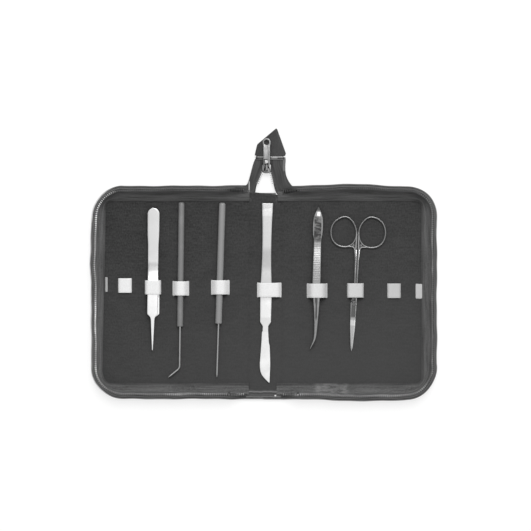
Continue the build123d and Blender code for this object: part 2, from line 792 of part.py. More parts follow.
def curved_outline():
    """Curved forceps: a boat-shaped head, slender arms and points that bend to one side."""
    half = curved_width / 2
    tip = curved_head + 0.2 - curved_length
    # Middle line, half width and place along the tool; the lower part follows the tip
    stations = [
        (0, 0.12, curved_head),
        (0, 0.5, curved_head - 3.6),
        (0, 0.93, curved_head - 9),
        (0, 1.0, curved_head - 13.5),
        (0, 0.94, curved_head - 22),
        (0, 0.8, curved_root),
        (0, 0.86, 20),
        (0.1, 0.88, 7),
        (0.4, 0.76, tip * 0.19),
        (0.6, 0.56, tip * 0.38),
        (0.65, 0.4, tip * 0.55),
        (0.5, 0.28, tip * 0.73),
        (0.15, 0.24, tip * 0.815),
        (-1.7, 0.2, tip * 0.92),
        (-3.5, 0.1, tip),
    ]
    right = [(middle + half * share, along) for middle, share, along in stations]
    left = [(middle - half * share, along) for middle, share, along in stations]
    with BuildLine() as outline:
        Polyline(*right, *reversed(left), close=True)
    return outline.line


forceps(
    "forceps",
    forceps_plane,
    straight_outline,
    forceps_root,
    forceps_head - forceps_length,
    forceps_head,
    forceps_tip_gap,
)
forceps(
    "curved_forceps",
    curved_plane,
    curved_outline,
    curved_root,
    curved_head - curved_length,
    curved_head,
    curved_tip_gap,
)

# Needles: a round handle with a stepped end, and a wire that is sunk in it
needle_top = edge_y - band_y["left"] - needle_room
needle_end = -edge_y - band_y["left"] + needle_room
needles = {
    "bent": (bent_needle_plane, bent_handle_diameter, needle_top, -32.3, needle_end + 11.6, (7.6, 6.3)),
    "straight": (straight_needle_plane, straight_handle_diameter, needle_top - 0.4, -30.0, needle_end + 6.5, None),
}
for name, (plane, diameter, handle_top, handle_foot, wire_end, hook) in needles.items():
    radius = diameter / 2
    axis_plane = plane.offset(radius)
    with BuildPart() as handle:
        with BuildSketch(axis_plane):
            with BuildLine():
                Polyline(
                    (0, handle_top),
                    (radius - 0.9, handle_top),
                    (radius, handle_top - 1.6),
                    (radius, handle_foot + 9),
                    (radius * 0.75, handle_foot),
                    (wire_diameter / 2, handle_foot),
                    (wire_diameter / 2, handle_foot + 12),
                    (0, handle_foot + 12),
                    close=True,
                )
            make_face()
        revolve(axis=Axis(axis_plane.origin, axis_plane.y_dir))
    handle.part.label = f"{name}_needle_handle"
    export_step(handle.part, f"parts/{name}_needle_handle.step")
    with BuildPart() as needle:
        wire_top = handle_foot + 12
        with BuildLine(axis_plane) as wire_line:
            if hook:
                across, down = hook
                FilletPolyline((0, wire_top), (0, wire_end), (-across, wire_end - down), radius=5)
            else:
                Line((0, wire_top), (0, wire_end))
        with BuildSketch(Plane(origin=wire_line.line @ 0, z_dir=wire_line.line % 0)):
            RegularPolygon(wire_diameter / 2, 12)
        sweep(path=wire_line.line)
        extrude(needle.faces().sort_by(Axis.Y)[0], amount=point_length, taper=point_taper)
    needle.part.label = f"{name}_needle"
    export_step(needle.part, f"parts/{name}_needle.step")

# Scalpel: one piece of steel, a waisted handle, a neck and a bellied blade
scalpel_top = edge_y - band_y["spine"] - tool_room - 0.5
scalpel_tip = scalpel_top - scalpel_length
shoulder = scalpel_tip + scalpel_blade
neck = shoulder - scalpel_neck
with BuildPart() as scalpel:
    with BuildSketch(scalpel_plane):
        with BuildLine():
            waist = scalpel_top - 30
            grip = shoulder + 27
            wide = scalpel_width / 2
            root = neck - 4
            blade_run = root - scalpel_tip
            back = [(3.1, 0.78), (3.8, 0.71), (4.4, 0.49), (4.6, 0.36), (4.5, 0.2), (4.3, 0.02)]
            edge = [(1.6, 0.03), (-1.2, 0.09), (-2.8, 0.16), (-3.9, 0.26), (-4.2, 0.38), (-3.9, 0.5), (-3.3, 0.72)]
            ThreePointArc((wide * 0.96, scalpel_top), (wide * 0.78, waist), (wide, grip))
            Polyline((wide, grip), (wide * 0.93, shoulder), (2.4, neck), (2.4, root))
            Polyline((2.4, root), *[(across, scalpel_tip + blade_run * share) for across, share in back])
            Polyline(
                (4.3, scalpel_tip + blade_run * 0.02),
                (4.0, scalpel_tip),
                *[(across, scalpel_tip + blade_run * share) for across, share in edge],
                (-2.9, root - 1),
                (-2.3, root),
                (-2.3, neck),
                (-wide * 0.93, shoulder),
                (-wide, grip),
            )
            ThreePointArc((-wide, grip), (-wide * 0.78, waist), (-wide * 0.96, scalpel_top))
            Line((-wide * 0.96, scalpel_top), (wide * 0.96, scalpel_top))
        make_face()
    extrude(amount=scalpel_thickness)
    with BuildSketch(side_view(scalpel_plane)):
        half = scalpel_thickness / 2
        with BuildLine():
            Polyline(
                (scalpel_top + 1, half * 0.3),
                (scalpel_top - 6, 0),
                (shoulder + 3.6, 0),
                (neck - 5, half - blade_thickness / 2),
                (scalpel_tip - 1, half - 0.25),
                (scalpel_tip - 1, half + 0.25),
                (neck - 5, half + blade_thickness / 2),
                (shoulder + 3.6, 2 * half),
                (scalpel_top - 6, 2 * half),
                (scalpel_top + 1, half * 1.7),
                close=True,
            )
        make_face()
    extrude(amount=20, both=True, mode=Mode.INTERSECT)
scalpel.part.label = "scalpel"
export_step(scalpel.part, "parts/scalpel.step")

# Scissors: two crossed levers, half lapped at the screw, each with an oval finger ring
ring_x = ring_width / 2 + 0.6
ring_y = ring_from_band
pivot_u = -screw_aside
pivot_v = -screw_from_band
lap_radius = 2.7
blade_tip = ring_y + ring_length / 2 - scissors_length
lap_gap = 0.1
screw_radius = 1.0
half_shank = shank_thickness / 2
split = 0.12  # from the axis to the inner edge of a shank
blade_run = pivot_v - blade_tip


def ring_points(inset, corner):
    """Outline of the right ring, about its middle, with the corner at the shank as shares."""
    across = ring_width / 2 - inset
    along = ring_length / 2 - inset
    turns = [radians(-50 + 230 * i / 14) for i in range(15)]
    points = [(cos(turn), sin(turn)) for turn in turns] + corner
    return [(across * x, along * y) for x, y in points]


ring_outside = ring_points(0, [(-1, -1.06), (-0.73, -0.985)])
ring_hole = ring_points(ring_wire, [(-1, -0.57), (-0.9, -0.84), (-0.63, -0.955), (0, -0.86)])
# Outer edges of the shanks, from the lap upwards
shank_edges = {
    "left": [(3.1, pivot_v + 2.1), (1.6, pivot_v + 11)],
    "right": [(1.6, pivot_v + 0.9), (1.5, pivot_v + 11)],
}
for side, sign in (("left", -1), ("right", 1)):
    lap_z = 0 if side == "left" else half_shank + lap_gap / 2
    lap_plane = scissors_plane.offset(lap_z)
    with BuildPart() as blade:
        with BuildSketch(scissors_plane):
            with BuildLine():
                Polyline(*[(sign * (ring_x + x), ring_y + y) for x, y in ring_outside], close=True)
            make_face()
            with BuildLine():
                Polyline(
                    (sign * 0.7, ring_y),
                    (sign * 0.3, ring_y * 0.74),
                    (sign * split, ring_y * 0.55),
                    (sign * split, pivot_v),
                    *[(sign * across, along) for across, along in shank_edges[side]],
                    (sign * 1.8, ring_y * 0.5),
                    (sign * 2.7, ring_y * 0.69),
                    (sign * 4.2, ring_y * 0.745),
                    (sign * 2.0, ring_y * 0.79),
                    (sign * 2.0, ring_y),
                    close=True,
                )
            make_face()
            with BuildLine():
                Polyline(*[(sign * (ring_x + x), ring_y + y) for x, y in ring_hole], close=True)
            make_face(mode=Mode.SUBTRACT)
            with Locations((pivot_u, pivot_v)):
                Circle(lap_radius, mode=Mode.SUBTRACT)
        extrude(amount=shank_thickness)
        with BuildSketch(lap_plane):
            with Locations((pivot_u, pivot_v)):
                Circle(lap_radius - 0.15)
            with BuildLine():
                Polyline(
                    (sign * split, pivot_v),
                    (sign * split, pivot_v + lap_radius + 0.8),
                    (sign * 1.4, pivot_v + lap_radius + 0.8),
                    (sign * 1.4, pivot_v),
                    close=True,
                )
            make_face()
            with BuildLine():
                outer = [(2.5, 0.015), (2.2, 0.33), (2.1, 0.5), (1.6, 0.665), (1.15, 0.83), (0.8, 0.92)]
                inner = [(0.05, 1), (-0.4, 0.7), (-0.9, 0.3), (-1.2, 0)]
                Polyline(
                    (pivot_u, pivot_v),
                    *[(pivot_u - sign * across, pivot_v - blade_run * share) for across, share in outer],
                    *[(pivot_u - sign * across, pivot_v - blade_run * share) for across, share in inner],
                    close=True,
                )
            make_face()
            with Locations((pivot_u, pivot_v)):
                Circle(screw_radius + 0.05, mode=Mode.SUBTRACT)
        extrude(amount=half_shank - lap_gap / 2)
    blade.part.label = f"scissors_{side}"
    export_step(blade.part, f"parts/scissors_{side}.step")

with BuildPart() as screw:
    with BuildSketch(scissors_plane):
        with Locations((pivot_u, pivot_v)):
            Circle(screw_radius)
    extrude(amount=shank_thickness + 0.05)
    with BuildSketch(scissors_plane.offset(shank_thickness + 0.05)):
        with Locations((pivot_u, pivot_v)):
            Circle(screw_radius + 0.9)
    extrude(amount=0.8, taper=20)
    with BuildSketch(scissors_plane.offset(shank_thickness + 0.85)):
        with Locations((pivot_u, pivot_v)):
            Rectangle(6, 0.5, rotation=35)
    extrude(amount=-0.4, mode=Mode.SUBTRACT)
screw.part.label = "scissors_screw"
export_step(screw.part, "parts/scissors_screw.step")
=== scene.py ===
# %% [markdown]
# # A zip-around instrument case, lying open like a book
#
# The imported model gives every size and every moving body. This file dresses it: the soft parts are
# made again as cloth, leatherette, tape and elastic, and the steel and plastic parts get finishes.
# Lengths are written in millimetres and turned into metres when a mesh is made.

import math

import bmesh
import bpy
import numpy as np
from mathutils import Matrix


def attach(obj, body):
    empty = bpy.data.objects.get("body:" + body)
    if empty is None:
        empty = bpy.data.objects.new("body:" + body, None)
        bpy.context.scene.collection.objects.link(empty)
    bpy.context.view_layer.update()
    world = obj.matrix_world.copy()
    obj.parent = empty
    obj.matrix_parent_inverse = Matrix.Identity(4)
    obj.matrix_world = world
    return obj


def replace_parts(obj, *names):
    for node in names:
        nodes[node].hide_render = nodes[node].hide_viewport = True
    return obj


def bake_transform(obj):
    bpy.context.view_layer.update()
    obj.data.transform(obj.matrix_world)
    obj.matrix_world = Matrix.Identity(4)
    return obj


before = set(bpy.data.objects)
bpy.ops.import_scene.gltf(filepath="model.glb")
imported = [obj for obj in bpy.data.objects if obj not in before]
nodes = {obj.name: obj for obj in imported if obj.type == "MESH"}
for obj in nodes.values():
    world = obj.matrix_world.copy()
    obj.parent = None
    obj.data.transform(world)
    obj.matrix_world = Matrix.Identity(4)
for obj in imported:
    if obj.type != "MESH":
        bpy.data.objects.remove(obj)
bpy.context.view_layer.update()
MM = 0.001

# %% [markdown]
# ## Camera, floor and light
#
# The case is seen from straight above through a long lens, so that its sides hardly show. One large
# lamp stands towards the zip tongue, and a pale sky fills the shadows. Together they give a level
# surface about the brightness that its colour says. The floor and the sky are white to the camera.
# Metal mirrors a sky that is white overhead and dimmer towards the horizon, so that flat faces are
# bright and rounded edges draw a darker line.

# %% Camera
VIEW_WIDTH = 446.0
CAMERA_HEIGHT = 2600.0
CAMERA_OVER = (1.7, 22.4)
RIM_HEIGHT = 14.2
camera_data = bpy.data.cameras.new("overhead")
camera_data.sensor_width = 36.0
camera_data.lens = camera_data.sensor_width * (CAMERA_HEIGHT - RIM_HEIGHT / 2) / VIEW_WIDTH
camera_data.clip_end = 20.0
camera = bpy.data.objects.new("overhead", camera_data)
camera.location = (CAMERA_OVER[0] * MM, CAMERA_OVER[1] * MM, CAMERA_HEIGHT * MM)
bpy.context.collection.objects.link(camera)
bpy.context.scene.camera = camera
bpy.context.scene.view_settings.view_transform = "Standard"
print("lens:", round(camera_data.lens, 1), "mm")


# %% A short way to write node trees
def grey(level):
    """The linear colour of a neutral grey that is shown as this level, from 0 to 255."""
    share = level / 255
    linear = share / 12.92 if share <= 0.04045 else ((share + 0.055) / 1.055) ** 2.4
    return (linear, linear, linear, 1.0)


class Nodes:
    """Short ways to add nodes to a tree. Every value is a number or another node's socket."""

    def __init__(self, tree):
        self.tree = tree

    def feed(self, socket, value):
        """Links a socket to the input, or sets it to a number."""
        if isinstance(value, bpy.types.NodeSocket):
            self.tree.links.new(value, socket)
        else:
            socket.default_value = value

    def put(self, kind, inputs=None, **settings):
        """Adds a node with these properties, feeds its inputs by name or number, gives its outputs."""
        node = self.tree.nodes.new(kind)
        for name, value in settings.items():
            setattr(node, name, value)
        for name, value in (inputs or {}).items():
            self.feed(node.inputs[name], value)
        return node.outputs

    def maths(self, operation, *values):
        """One step of arithmetic."""
        return self.put("ShaderNodeMath", dict(enumerate(values)), operation=operation)[0]

    def times(self, first, *others):
        """The values multiplied together."""
        for value in others:
            first = self.maths("MULTIPLY", first, value)
        return first

    def inverse(self, mask):
        """1 - mask."""
        return self.maths("SUBTRACT", 1.0, mask)

    def ranged(self, value, low, high, ease="SMOOTHSTEP", start=0.0):
        """start where the value is low and 1 where it is high, and between them as the ease says."""
        limits = {"Value": value, "From Min": low, "From Max": high, "To Min": start}
        return self.put("ShaderNodeMapRange", limits, interpolation_type=ease)[0]

    def noise(self, place, scale, detail, roughness=0.5):
        """A noise with this many swells to the metre."""
        inputs = {"Vector": place, "Scale": scale, "Detail": detail, "Roughness": roughness}
        return self.put("ShaderNodeTexNoise", inputs)

    def mix(self, factor, a, b):
        """The colour between a and b. A number stands for the grey of that level."""
        a, b = (grey(colour) if isinstance(colour, (int, float)) else colour for colour in (a, b))
        return self.put("ShaderNodeMix", {0: factor, 6: a, 7: b}, data_type="RGBA")[2]


# %% Sky, lamp and floor
UNSEEN_SKY = 0.58
world = bpy.data.worlds.new("pale_room")
bpy.context.scene.world = world
world.use_nodes = True
sky = Nodes(world.node_tree)
sky.tree.nodes.clear()
rays = sky.put("ShaderNodeLightPath")
toward = sky.put("ShaderNodeSeparateXYZ", {0: sky.put("ShaderNodeTexCoord")["Generated"]})["Z"]
mirrored_sky = sky.times(rays["Is Glossy Ray"], sky.ranged(toward, 0.05, 0.75, start=0.4))
seen = sky.maths("MAXIMUM", rays["Is Camera Ray"], rays["Is Transmission Ray"])
seen = sky.maths("MAXIMUM", seen, mirrored_sky)
strength = sky.maths("MULTIPLY_ADD", seen, 1 - UNSEEN_SKY, UNSEEN_SKY)
backing = sky.put("ShaderNodeBackground", {"Color": (1, 1, 1, 1), "Strength": strength})[0]
sky.put("ShaderNodeOutputWorld", {"Surface": backing})

lamp_data = bpy.data.lights.new("key_lamp", "AREA")
lamp_data.size = 900 * MM
lamp_data.energy = 19.0
lamp = bpy.data.objects.new("key_lamp", lamp_data)
lamp.location = (160 * MM, 900 * MM, 1450 * MM)
lamp.rotation_euler = (-lamp.location).to_track_quat("-Z", "Y").to_euler()
bpy.context.collection.objects.link(lamp)

GLOW_SHARE = 0.66
floor_material = bpy.data.materials.new("white_floor")
floor_material.use_nodes = True
cover = Nodes(floor_material.node_tree)
cover.tree.nodes.clear()
paper = cover.put("ShaderNodeBsdfDiffuse", {"Color": (0.97, 0.97, 0.97, 1)})[0]
glow = cover.put("ShaderNodeEmission", {"Color": (1, 1, 1, 1), "Strength": 1.06})[0]
rays = cover.put("ShaderNodeLightPath")
seen = cover.times(cover.maths("MAXIMUM", rays["Is Camera Ray"], rays["Is Glossy Ray"]), GLOW_SHARE)
mixed = cover.put("ShaderNodeMixShader", {0: seen, 1: paper, 2: glow})[0]
cover.put("ShaderNodeOutputMaterial", {"Surface": mixed})
bpy.ops.mesh.primitive_plane_add(size=8.0, location=(0, 0, -0.3 * MM))
floor = bpy.context.object
floor.name = "floor"
floor.data.materials.append(floor_material)
print("stage ready")

# %% [markdown]
# ## From arrays to meshes
#
# Every new piece is a surface worked out on a grid. A grid has rows and columns of points, and its
# faces join each point to the next in its row and in its column. Solid strips are a closed section
# carried along rows of stations and capped at both ends.


# %% Lines
def distance(line):
    """How far each point of a line is along it."""
    return np.concatenate([[0], np.cumsum(np.linalg.norm(np.diff(line, axis=0), axis=1))])


def lerp(line, along, places):
    """The line's points at these places, where along says how far each point is."""
    return np.stack([np.interp(places, along, column) for column in line.T], 1)


def resample(points, step):
    """Points at even spacing, about step apart, along a line of any dimension."""
    line = np.asarray(points, float)
    along = distance(line)
    even = np.linspace(0, along[-1], max(int(round(along[-1] / step)), 2) + 1)
    return lerp(line, along, even), even


def chaikin(points, times):
    """Rounds a line by cutting its corners: each run keeps the points at 1/4 and 3/4 of its length."""
    line = np.asarray(points, float)
    for _ in range(times):
        a, b = line[:-1], line[1:]
        cut = np.stack([0.75 * a + 0.25 * b, 0.25 * a + 0.75 * b], 1).reshape(-1, line.shape[1])
        line = np.concatenate([line[:1], cut, line[-1:]])
    return line


def unit(vectors):
    """The vectors, each divided by its length."""
    return vectors / np.linalg.norm(vectors, axis=-1, keepdims=True)


def left_of(run):
    """The directions in a plane turned a quarter to the left."""
    return np.stack([-run[:, 1], run[:, 0]], 1)


def thick_line(points, thickness):
    """A closed section: the line pushed half the thickness to each side, along its normals."""
    line = np.asarray(points, float)
    side = left_of(unit(np.gradient(line, axis=0))) * thickness / 2
    return np.concatenate([line + side, (line - side)[::-1], (line + side)[:1]])


def there_and_back(columns, under=None):
    """Columns of an upper face, then those of the lower one backwards, then the first again."""
    under = columns if under is None else under
    return np.concatenate([columns, under[:, ::-1], columns[:, :1]], 1)


# %% Meshes
def grid_faces(rows, columns):
    """Quads of a grid: corner (r, c), then (r+1, c), (r+1, c+1) and (r, c+1), as point indices."""
    index = np.arange(rows * columns).reshape(rows, columns)
    corners = [index[:-1, :-1], index[1:, :-1], index[1:, 1:], index[:-1, 1:]]
    return np.stack(corners, -1).reshape(-1, 4)


def strip_faces(stations, ring):
    """Faces of a closed section carried along stations, with its first point repeated at the end."""
    first = np.arange(ring - 1)[None, ::-1]
    last = (stations - 1) * ring + np.arange(ring - 1)[None, :]
    return [grid_faces(stations, ring), first, last]


def piece(name, points, faces, finish, uv=None, sharp=40):
    """A mesh object from points in millimetres and arrays of faces, smooth but for sharp edges."""
    mesh = bpy.data.meshes.new(name)
    mesh.vertices.add(len(points))
    mesh.vertices.foreach_set("co", (np.asarray(points, float) * MM).ravel())
    corners = np.concatenate([face.ravel() for face in faces])
    sizes = np.concatenate([np.full(len(face), face.shape[1]) for face in faces])
    mesh.loops.add(len(corners))
    mesh.loops.foreach_set("vertex_index", corners.astype(np.int32))
    mesh.polygons.add(len(sizes))
    mesh.polygons.foreach_set("loop_start", (np.cumsum(sizes) - sizes).astype(np.int32))
    if uv is not None:
        layer = mesh.uv_layers.new(name="laid_flat")
        layer.data.foreach_set("uv", (np.asarray(uv, float) * MM)[corners].ravel())
    mesh.update(calc_edges=True)
    shell = bmesh.new()
    shell.from_mesh(mesh)
    bmesh.ops.remove_doubles(shell, verts=shell.verts, dist=1e-7)
    bmesh.ops.recalc_face_normals(shell, faces=shell.faces)
    shell.to_mesh(mesh)
    shell.free()
    mesh.polygons.foreach_set("use_smooth", np.ones(len(mesh.polygons), bool))
    mesh.set_sharp_from_angle(angle=math.radians(sharp))
    mesh.materials.append(finish)
    obj = bpy.data.objects.new(name, mesh)
    bpy.context.collection.objects.link(obj)
    return obj


def strip(name, points, finish, along=None, across=None, sharp=40):
    """A piece from points[station, place in the closed section], with a UV map (along, across)."""
    uv = None
    if along is not None:
        uv = np.stack(np.broadcast_arrays(along, across), -1).reshape(-1, 2)
    return piece(name, points.reshape(-1, 3), strip_faces(*points.shape[:2]), finish, uv, sharp)


# %% [markdown]
# ## Finishes
#
# Each finish is a small node tree. Effects that several finishes share are node groups: the pebble
# grain of leatherette, the crossing threads of cloth, the fine lines that polishing leaves in metal,
# and the uneven wear that handling leaves on everything. A group puts out heights and masks only.
# A finish starts with a colour, and masks then lay other greys over it at their places, some of them painted
# light and shade.


# %% Shared effects as node groups
def effect(name, numbers, outputs):
    """An empty node group that takes a Place and these numbers, as its nodes, inputs and outputs."""
    group = bpy.data.node_groups.new(name, "ShaderNodeTree")
    group.interface.new_socket(name="Place", in_out="INPUT", socket_type="NodeSocketVector")
    for title, value in numbers.items():
        socket = group.interface.new_socket(name=title, in_out="INPUT", socket_type="NodeSocketFloat")
        socket.default_value = value
    for title in outputs:
        group.interface.new_socket(name=title, in_out="OUTPUT", socket_type="NodeSocketFloat")
    entry, result = group.nodes.new("NodeGroupInput"), group.nodes.new("NodeGroupOutput")
    return Nodes(group), entry.outputs, result.inputs


# Pebble grain: small rounded cells with creases between them, their size varied by a slow noise.
# Its Crease shade output is painted shade, which darkens the creases between the cells.
pebble, given, wanted = effect("pebble_grain", {"Cells per metre": 900.0}, ["Height", "Crease shade"])
warp = {0: pebble.noise(given["Place"], 160.0, 2.0)["Color"], 1: (0.0012, 0.0012, 0.0012), 2: given["Place"]}
shifted = pebble.put("ShaderNodeVectorMath", warp, operation="MULTIPLY_ADD")[0]
cells = {"Vector": shifted, "Scale": given["Cells per metre"]}
cells = pebble.put("ShaderNodeTexVoronoi", cells, feature="DISTANCE_TO_EDGE")["Distance"]
dome = pebble.ranged(cells, 0.0, 0.22, "SMOOTHERSTEP")
pebble.feed(wanted["Height"], dome)
# Painted shade: 1 in the creases between the cells
pebble.feed(wanted["Crease shade"], pebble.inverse(dome))

# Weave: two sets of threads, each a sine across its direction, over and under in turn
threads_by = {"Threads per metre": 2200.0, "Cross share": 1.0}
weave, given, wanted = effect("crossing_threads", threads_by, ["Height", "Gap"])
split = weave.put("ShaderNodeSeparateXYZ", {0: given["Place"]})
turns = weave.times(given["Threads per metre"], math.pi)
warp = weave.maths("SINE", weave.times(split["X"], turns))
weft = weave.maths("SINE", weave.times(split["Y"], weave.times(turns, given["Cross share"])))
over = weave.maths("ABSOLUTE", weave.times(warp, weft))
ridge = weave.maths("MAXIMUM", weave.maths("ABSOLUTE", warp), over)
ridge = weave.times(ridge, weave.maths("ABSOLUTE", weft))
weave.feed(wanted["Height"], ridge)
weave.feed(wanted["Gap"], weave.inverse(ridge))

# Wear: slow patches where hands and neighbours have rubbed, with a finer breakup inside them
FINER = 22.0
wear, given, wanted = effect("handling_wear", {"Patches per metre": 30.0, "Share": 0.4}, ["Mask", "Speckle"])
slow = wear.noise(given["Place"], given["Patches per metre"], 4.0, 0.6)[0]
quick = wear.noise(given["Place"], wear.times(given["Patches per metre"], FINER), 2.0)[0]
edge = wear.inverse(given["Share"])
wear.feed(wanted["Mask"], wear.ranged(slow, edge, wear.maths("ADD", edge, 0.25)))
wear.feed(wanted["Speckle"], quick)

# Polishing lines: a noise drawn out along one axis
lines_by = {"Lines per metre": 3000.0, "Along": 0.02}
lines, given, wanted = effect("polishing_lines", lines_by, ["Height"])
split = lines.put("ShaderNodeSeparateXYZ", {0: given["Place"]})
drawn = {"X": split["X"], "Y": lines.times(split["Y"], given["Along"]), "Z": split["Z"]}
drawn = lines.put("ShaderNodeCombineXYZ", drawn)[0]
lines.feed(wanted["Height"], lines.noise(drawn, given["Lines per metre"], 3.0)[0])
print("node groups:", [group.name for group in bpy.data.node_groups])


# %% How a finish is written
class Finish(Nodes):
    """A material being written, with the colour laid down so far.

    Masks read X and Y, and U and V of the UV map. X and Y are the object's own, or lie across and
    along a tool that leans by tilt at (x, y). A finish with a tool is a metal.
    """

    def __init__(self, name, tool=None):
        self.material = bpy.data.materials.new(name)
        self.material.use_nodes = True
        super().__init__(self.material.node_tree)
        self.shader = self.tree.nodes["Principled BSDF"]
        places = self.put("ShaderNodeTexCoord")
        self.place, self.laid, self.colour = places["Object"], places["UV"], None
        if tool:
            x, y, tilt = tool
            self.shader.inputs["Metallic"].default_value = 1.0
            turn = {"Vector": self.place, "Location": (x * MM, y * MM, 0)}
            turn["Rotation"] = (0, 0, math.radians(tilt))
            self.place = self.put("ShaderNodeMapping", turn, vector_type="TEXTURE")[0]

    def group(self, shared, place=None, **values):
        """A shared effect's outputs, with values by input name, underscores for spaces."""
        inputs = {name.replace("_", " "): value for name, value in values.items()}
        inputs["Place"] = self.place if place is None else place
        return self.put("ShaderNodeGroup", inputs, node_tree=shared.tree)

    def streaks(self, along, across, spread=0.16, place=None):
        """A noise drawn out along X: long in proportion to 1 / along, across per metre wide, 0 to 1."""
        stretch = {"Vector": self.place if place is None else place, "Scale": (along, 1.0, 1.0)}
        drawn = self.noise(self.put("ShaderNodeMapping", stretch)[0], across, 3.0, 0.6)[0]
        return self.ranged(drawn, 0.5 - spread, 0.5 + spread, "LINEAR")

    def span(self, axis, low, high):
        """0 before low and 1 after high along an axis, in millimetres, turning smoothly between."""
        place, axis = (self.laid, {"U": "X", "V": "Y"}[axis]) if axis in "UV" else (self.place, axis)
        value = self.put("ShaderNodeSeparateXYZ", {0: place})[axis]
        return self.ranged(value, low * MM, high * MM)

    def window(self, axis, low, high, soft):
        """1 between low and high along an axis, in millimetres, fading to 0 over soft outside them."""
        return self.maths("SUBTRACT", self.span(axis, low - soft, low), self.span(axis, high, high + soft))

    def patch(self, x, y):
        """1 where X and Y are both in their windows."""
        return self.times(self.window("X", *x), self.window("Y", *y))

    def sides(self, left, low, right, top):
        """A tone for each side of the case, each fading out towards the corners that it shares."""
        result = self.times(self.inverse(self.span("X", -141, -120)), left)
        for mask, level in (
            (self.inverse(self.span("Y", -84, -68)), low),
            (self.span("X", 120, 141), right),
            (self.span("Y", 68, 84), top),
        ):
            result = self.maths("MAXIMUM", result, self.times(mask, level))
        return result

    def tint(self, mask, level, share=1.0):
        """Lays a grey, or a colour, over the finish where the mask is, by this share at most."""
        self.colour = self.mix(mask if share == 1.0 else self.times(mask, share), self.colour, level)

    def end(self, inputs, height=None, depth=0.0, strength=1.0):
        """Feeds the colour, these inputs and a bump of this depth in millimetres to the shader."""
        for name, value in {"Base Color": self.colour, **inputs}.items():
            self.feed(self.shader.inputs[name], value)
        if height is not None:
            bump = {"Height": height, "Distance": depth * MM, "Strength": strength}
            self.feed(self.shader.inputs["Normal"], self.put("ShaderNodeBump", bump)[0])
        return self.material

    def end_metal(self, roughness):
        """Ends a metal with the uneven dullness of handling and with its polishing lines."""
        polish = self.group(lines, Lines_per_metre=2600.0, Along=0.03)["Height"]
        worn = self.group(wear, Patches_per_metre=55.0, Share=0.5)["Mask"]
        rough = self.maths("MULTIPLY_ADD", worn, 0.12, roughness)
        return self.end({"Roughness": rough}, polish, 0.004, 0.6)


CASE = (0, 0, 0)
CLOTH = {"Roughness": 0.85, "Specular IOR Level": 0.2, "Sheen Weight": 0.08}
# The lower left of the rim, where the tape and the piping get painted light
LOW_LEFT = ((-150, -124, 4), (-62, -8, 14))


# %% Cloth, leatherette and paper
def leatherette(name, level, crease_shade_level, roughness):
    """Coated cloth: rounded cells with painted shade darkening the creases, duller where it has been rubbed.
    """
    f = Finish(name)
    grain = f.group(pebble, Cells_per_metre=1250.0)
    worn = f.group(wear, Patches_per_metre=26.0, Share=0.5)["Mask"]
    f.colour = f.mix(grain["Crease shade"], level, crease_shade_level)
    f.tint(worn, level + 20, 0.3)
    rough = f.maths("MULTIPLY_ADD", worn, 0.14, roughness)
    return f.end({"Roughness": rough, "Specular IOR Level": 0.4}, grain["Height"], 0.12, 0.8)


def lining_nylon(name, level, gap_level):
    """Thin nylon: fine crossing threads, slubs along X, and painted light that lightens it towards the right
    and the bottom of the case.
    """
    f = Finish(name)
    threads = f.group(weave, Threads_per_metre=2600.0)
    f.colour = f.mix(threads["Gap"], level + 5, gap_level)
    f.tint(0.5, f.mix(f.streaks(0.22, 700.0), level - 30, level + 26))
    f.tint(0.45, f.mix(f.streaks(1.6, 520.0), level - 30, level + 26))
    f.tint(0.3, f.mix(f.streaks(0.8, 70.0, 0.2), level - 14, level + 12))
    # Painted light: lighter towards the right and, more, towards the bottom
    drift = f.times(f.span("X", -150, 60), 0.3)
    drift = f.maths("MULTIPLY_ADD", f.inverse(f.span("Y", -90, 80)), 0.8, drift)
    f.tint(drift, level + 21, 0.66)
    return f.end(CLOTH, threads["Height"], 0.06, 0.6)


def tape_cloth(name, level, gap_level):
    """Zip tape: twill threads and streaks, a pale line along its woven edge by the teeth that painted
    highlight strengthens most on the left, painted light that lightens each side and most of all
    the lower left, painted shade at its foot, and a paler streaky patch low on the right.

    Its UV map runs along the tape and, across it, from the toothed edge.
    """
    f = Finish(name)
    threads = f.group(weave, f.laid, Threads_per_metre=2400.0, Cross_share=0.6)
    f.colour = f.mix(threads["Gap"], level + 8, gap_level)
    f.tint(0.6, f.mix(f.streaks(0.06, 560.0, place=f.laid), level - 30, level + 34))
    # Painted light: each side of the band lighter, as the light falls on its slope
    f.tint(f.sides(0.22, 0.16, 0.24, 0.16), level + 44)
    grain = f.ranged(f.noise(f.place, 1300.0, 2.0)[0], 0.42, 0.7, "LINEAR")
    f.tint(f.times(grain, f.sides(0.2, 0.24, 0.16, 0.08)), level + 90)
    worn = f.group(wear, Patches_per_metre=34.0, Share=0.55)["Mask"]
    uneven = f.maths("MULTIPLY_ADD", worn, 0.8, 0.25)
    # A pale line along the woven edge by the teeth, partly its own tone and partly painted highlight,
    # strongest on the left
    f.tint(f.times(f.window("V", 2.3, 3.7, 0.7), uneven, f.sides(0.9, 0.6, 0.4, 0.25)), 150)
    # Painted shade at the tape's foot, where it meets the lining
    f.tint(f.span("V", 10.0, 12.6), level - 22, 0.42)
    # Painted light: lighter still low down on the left
    f.tint(f.patch(*LOW_LEFT), level + 44, 0.22)
    # A paler streaky patch low on the right
    pale_streaky_patch = f.times(f.patch((46, 68, 6), (-92, -78, 2)), f.streaks(0.4, 420.0))
    f.tint(pale_streaky_patch, 150, 0.45)
    return f.end(CLOTH, threads["Height"], 0.1, 0.7)


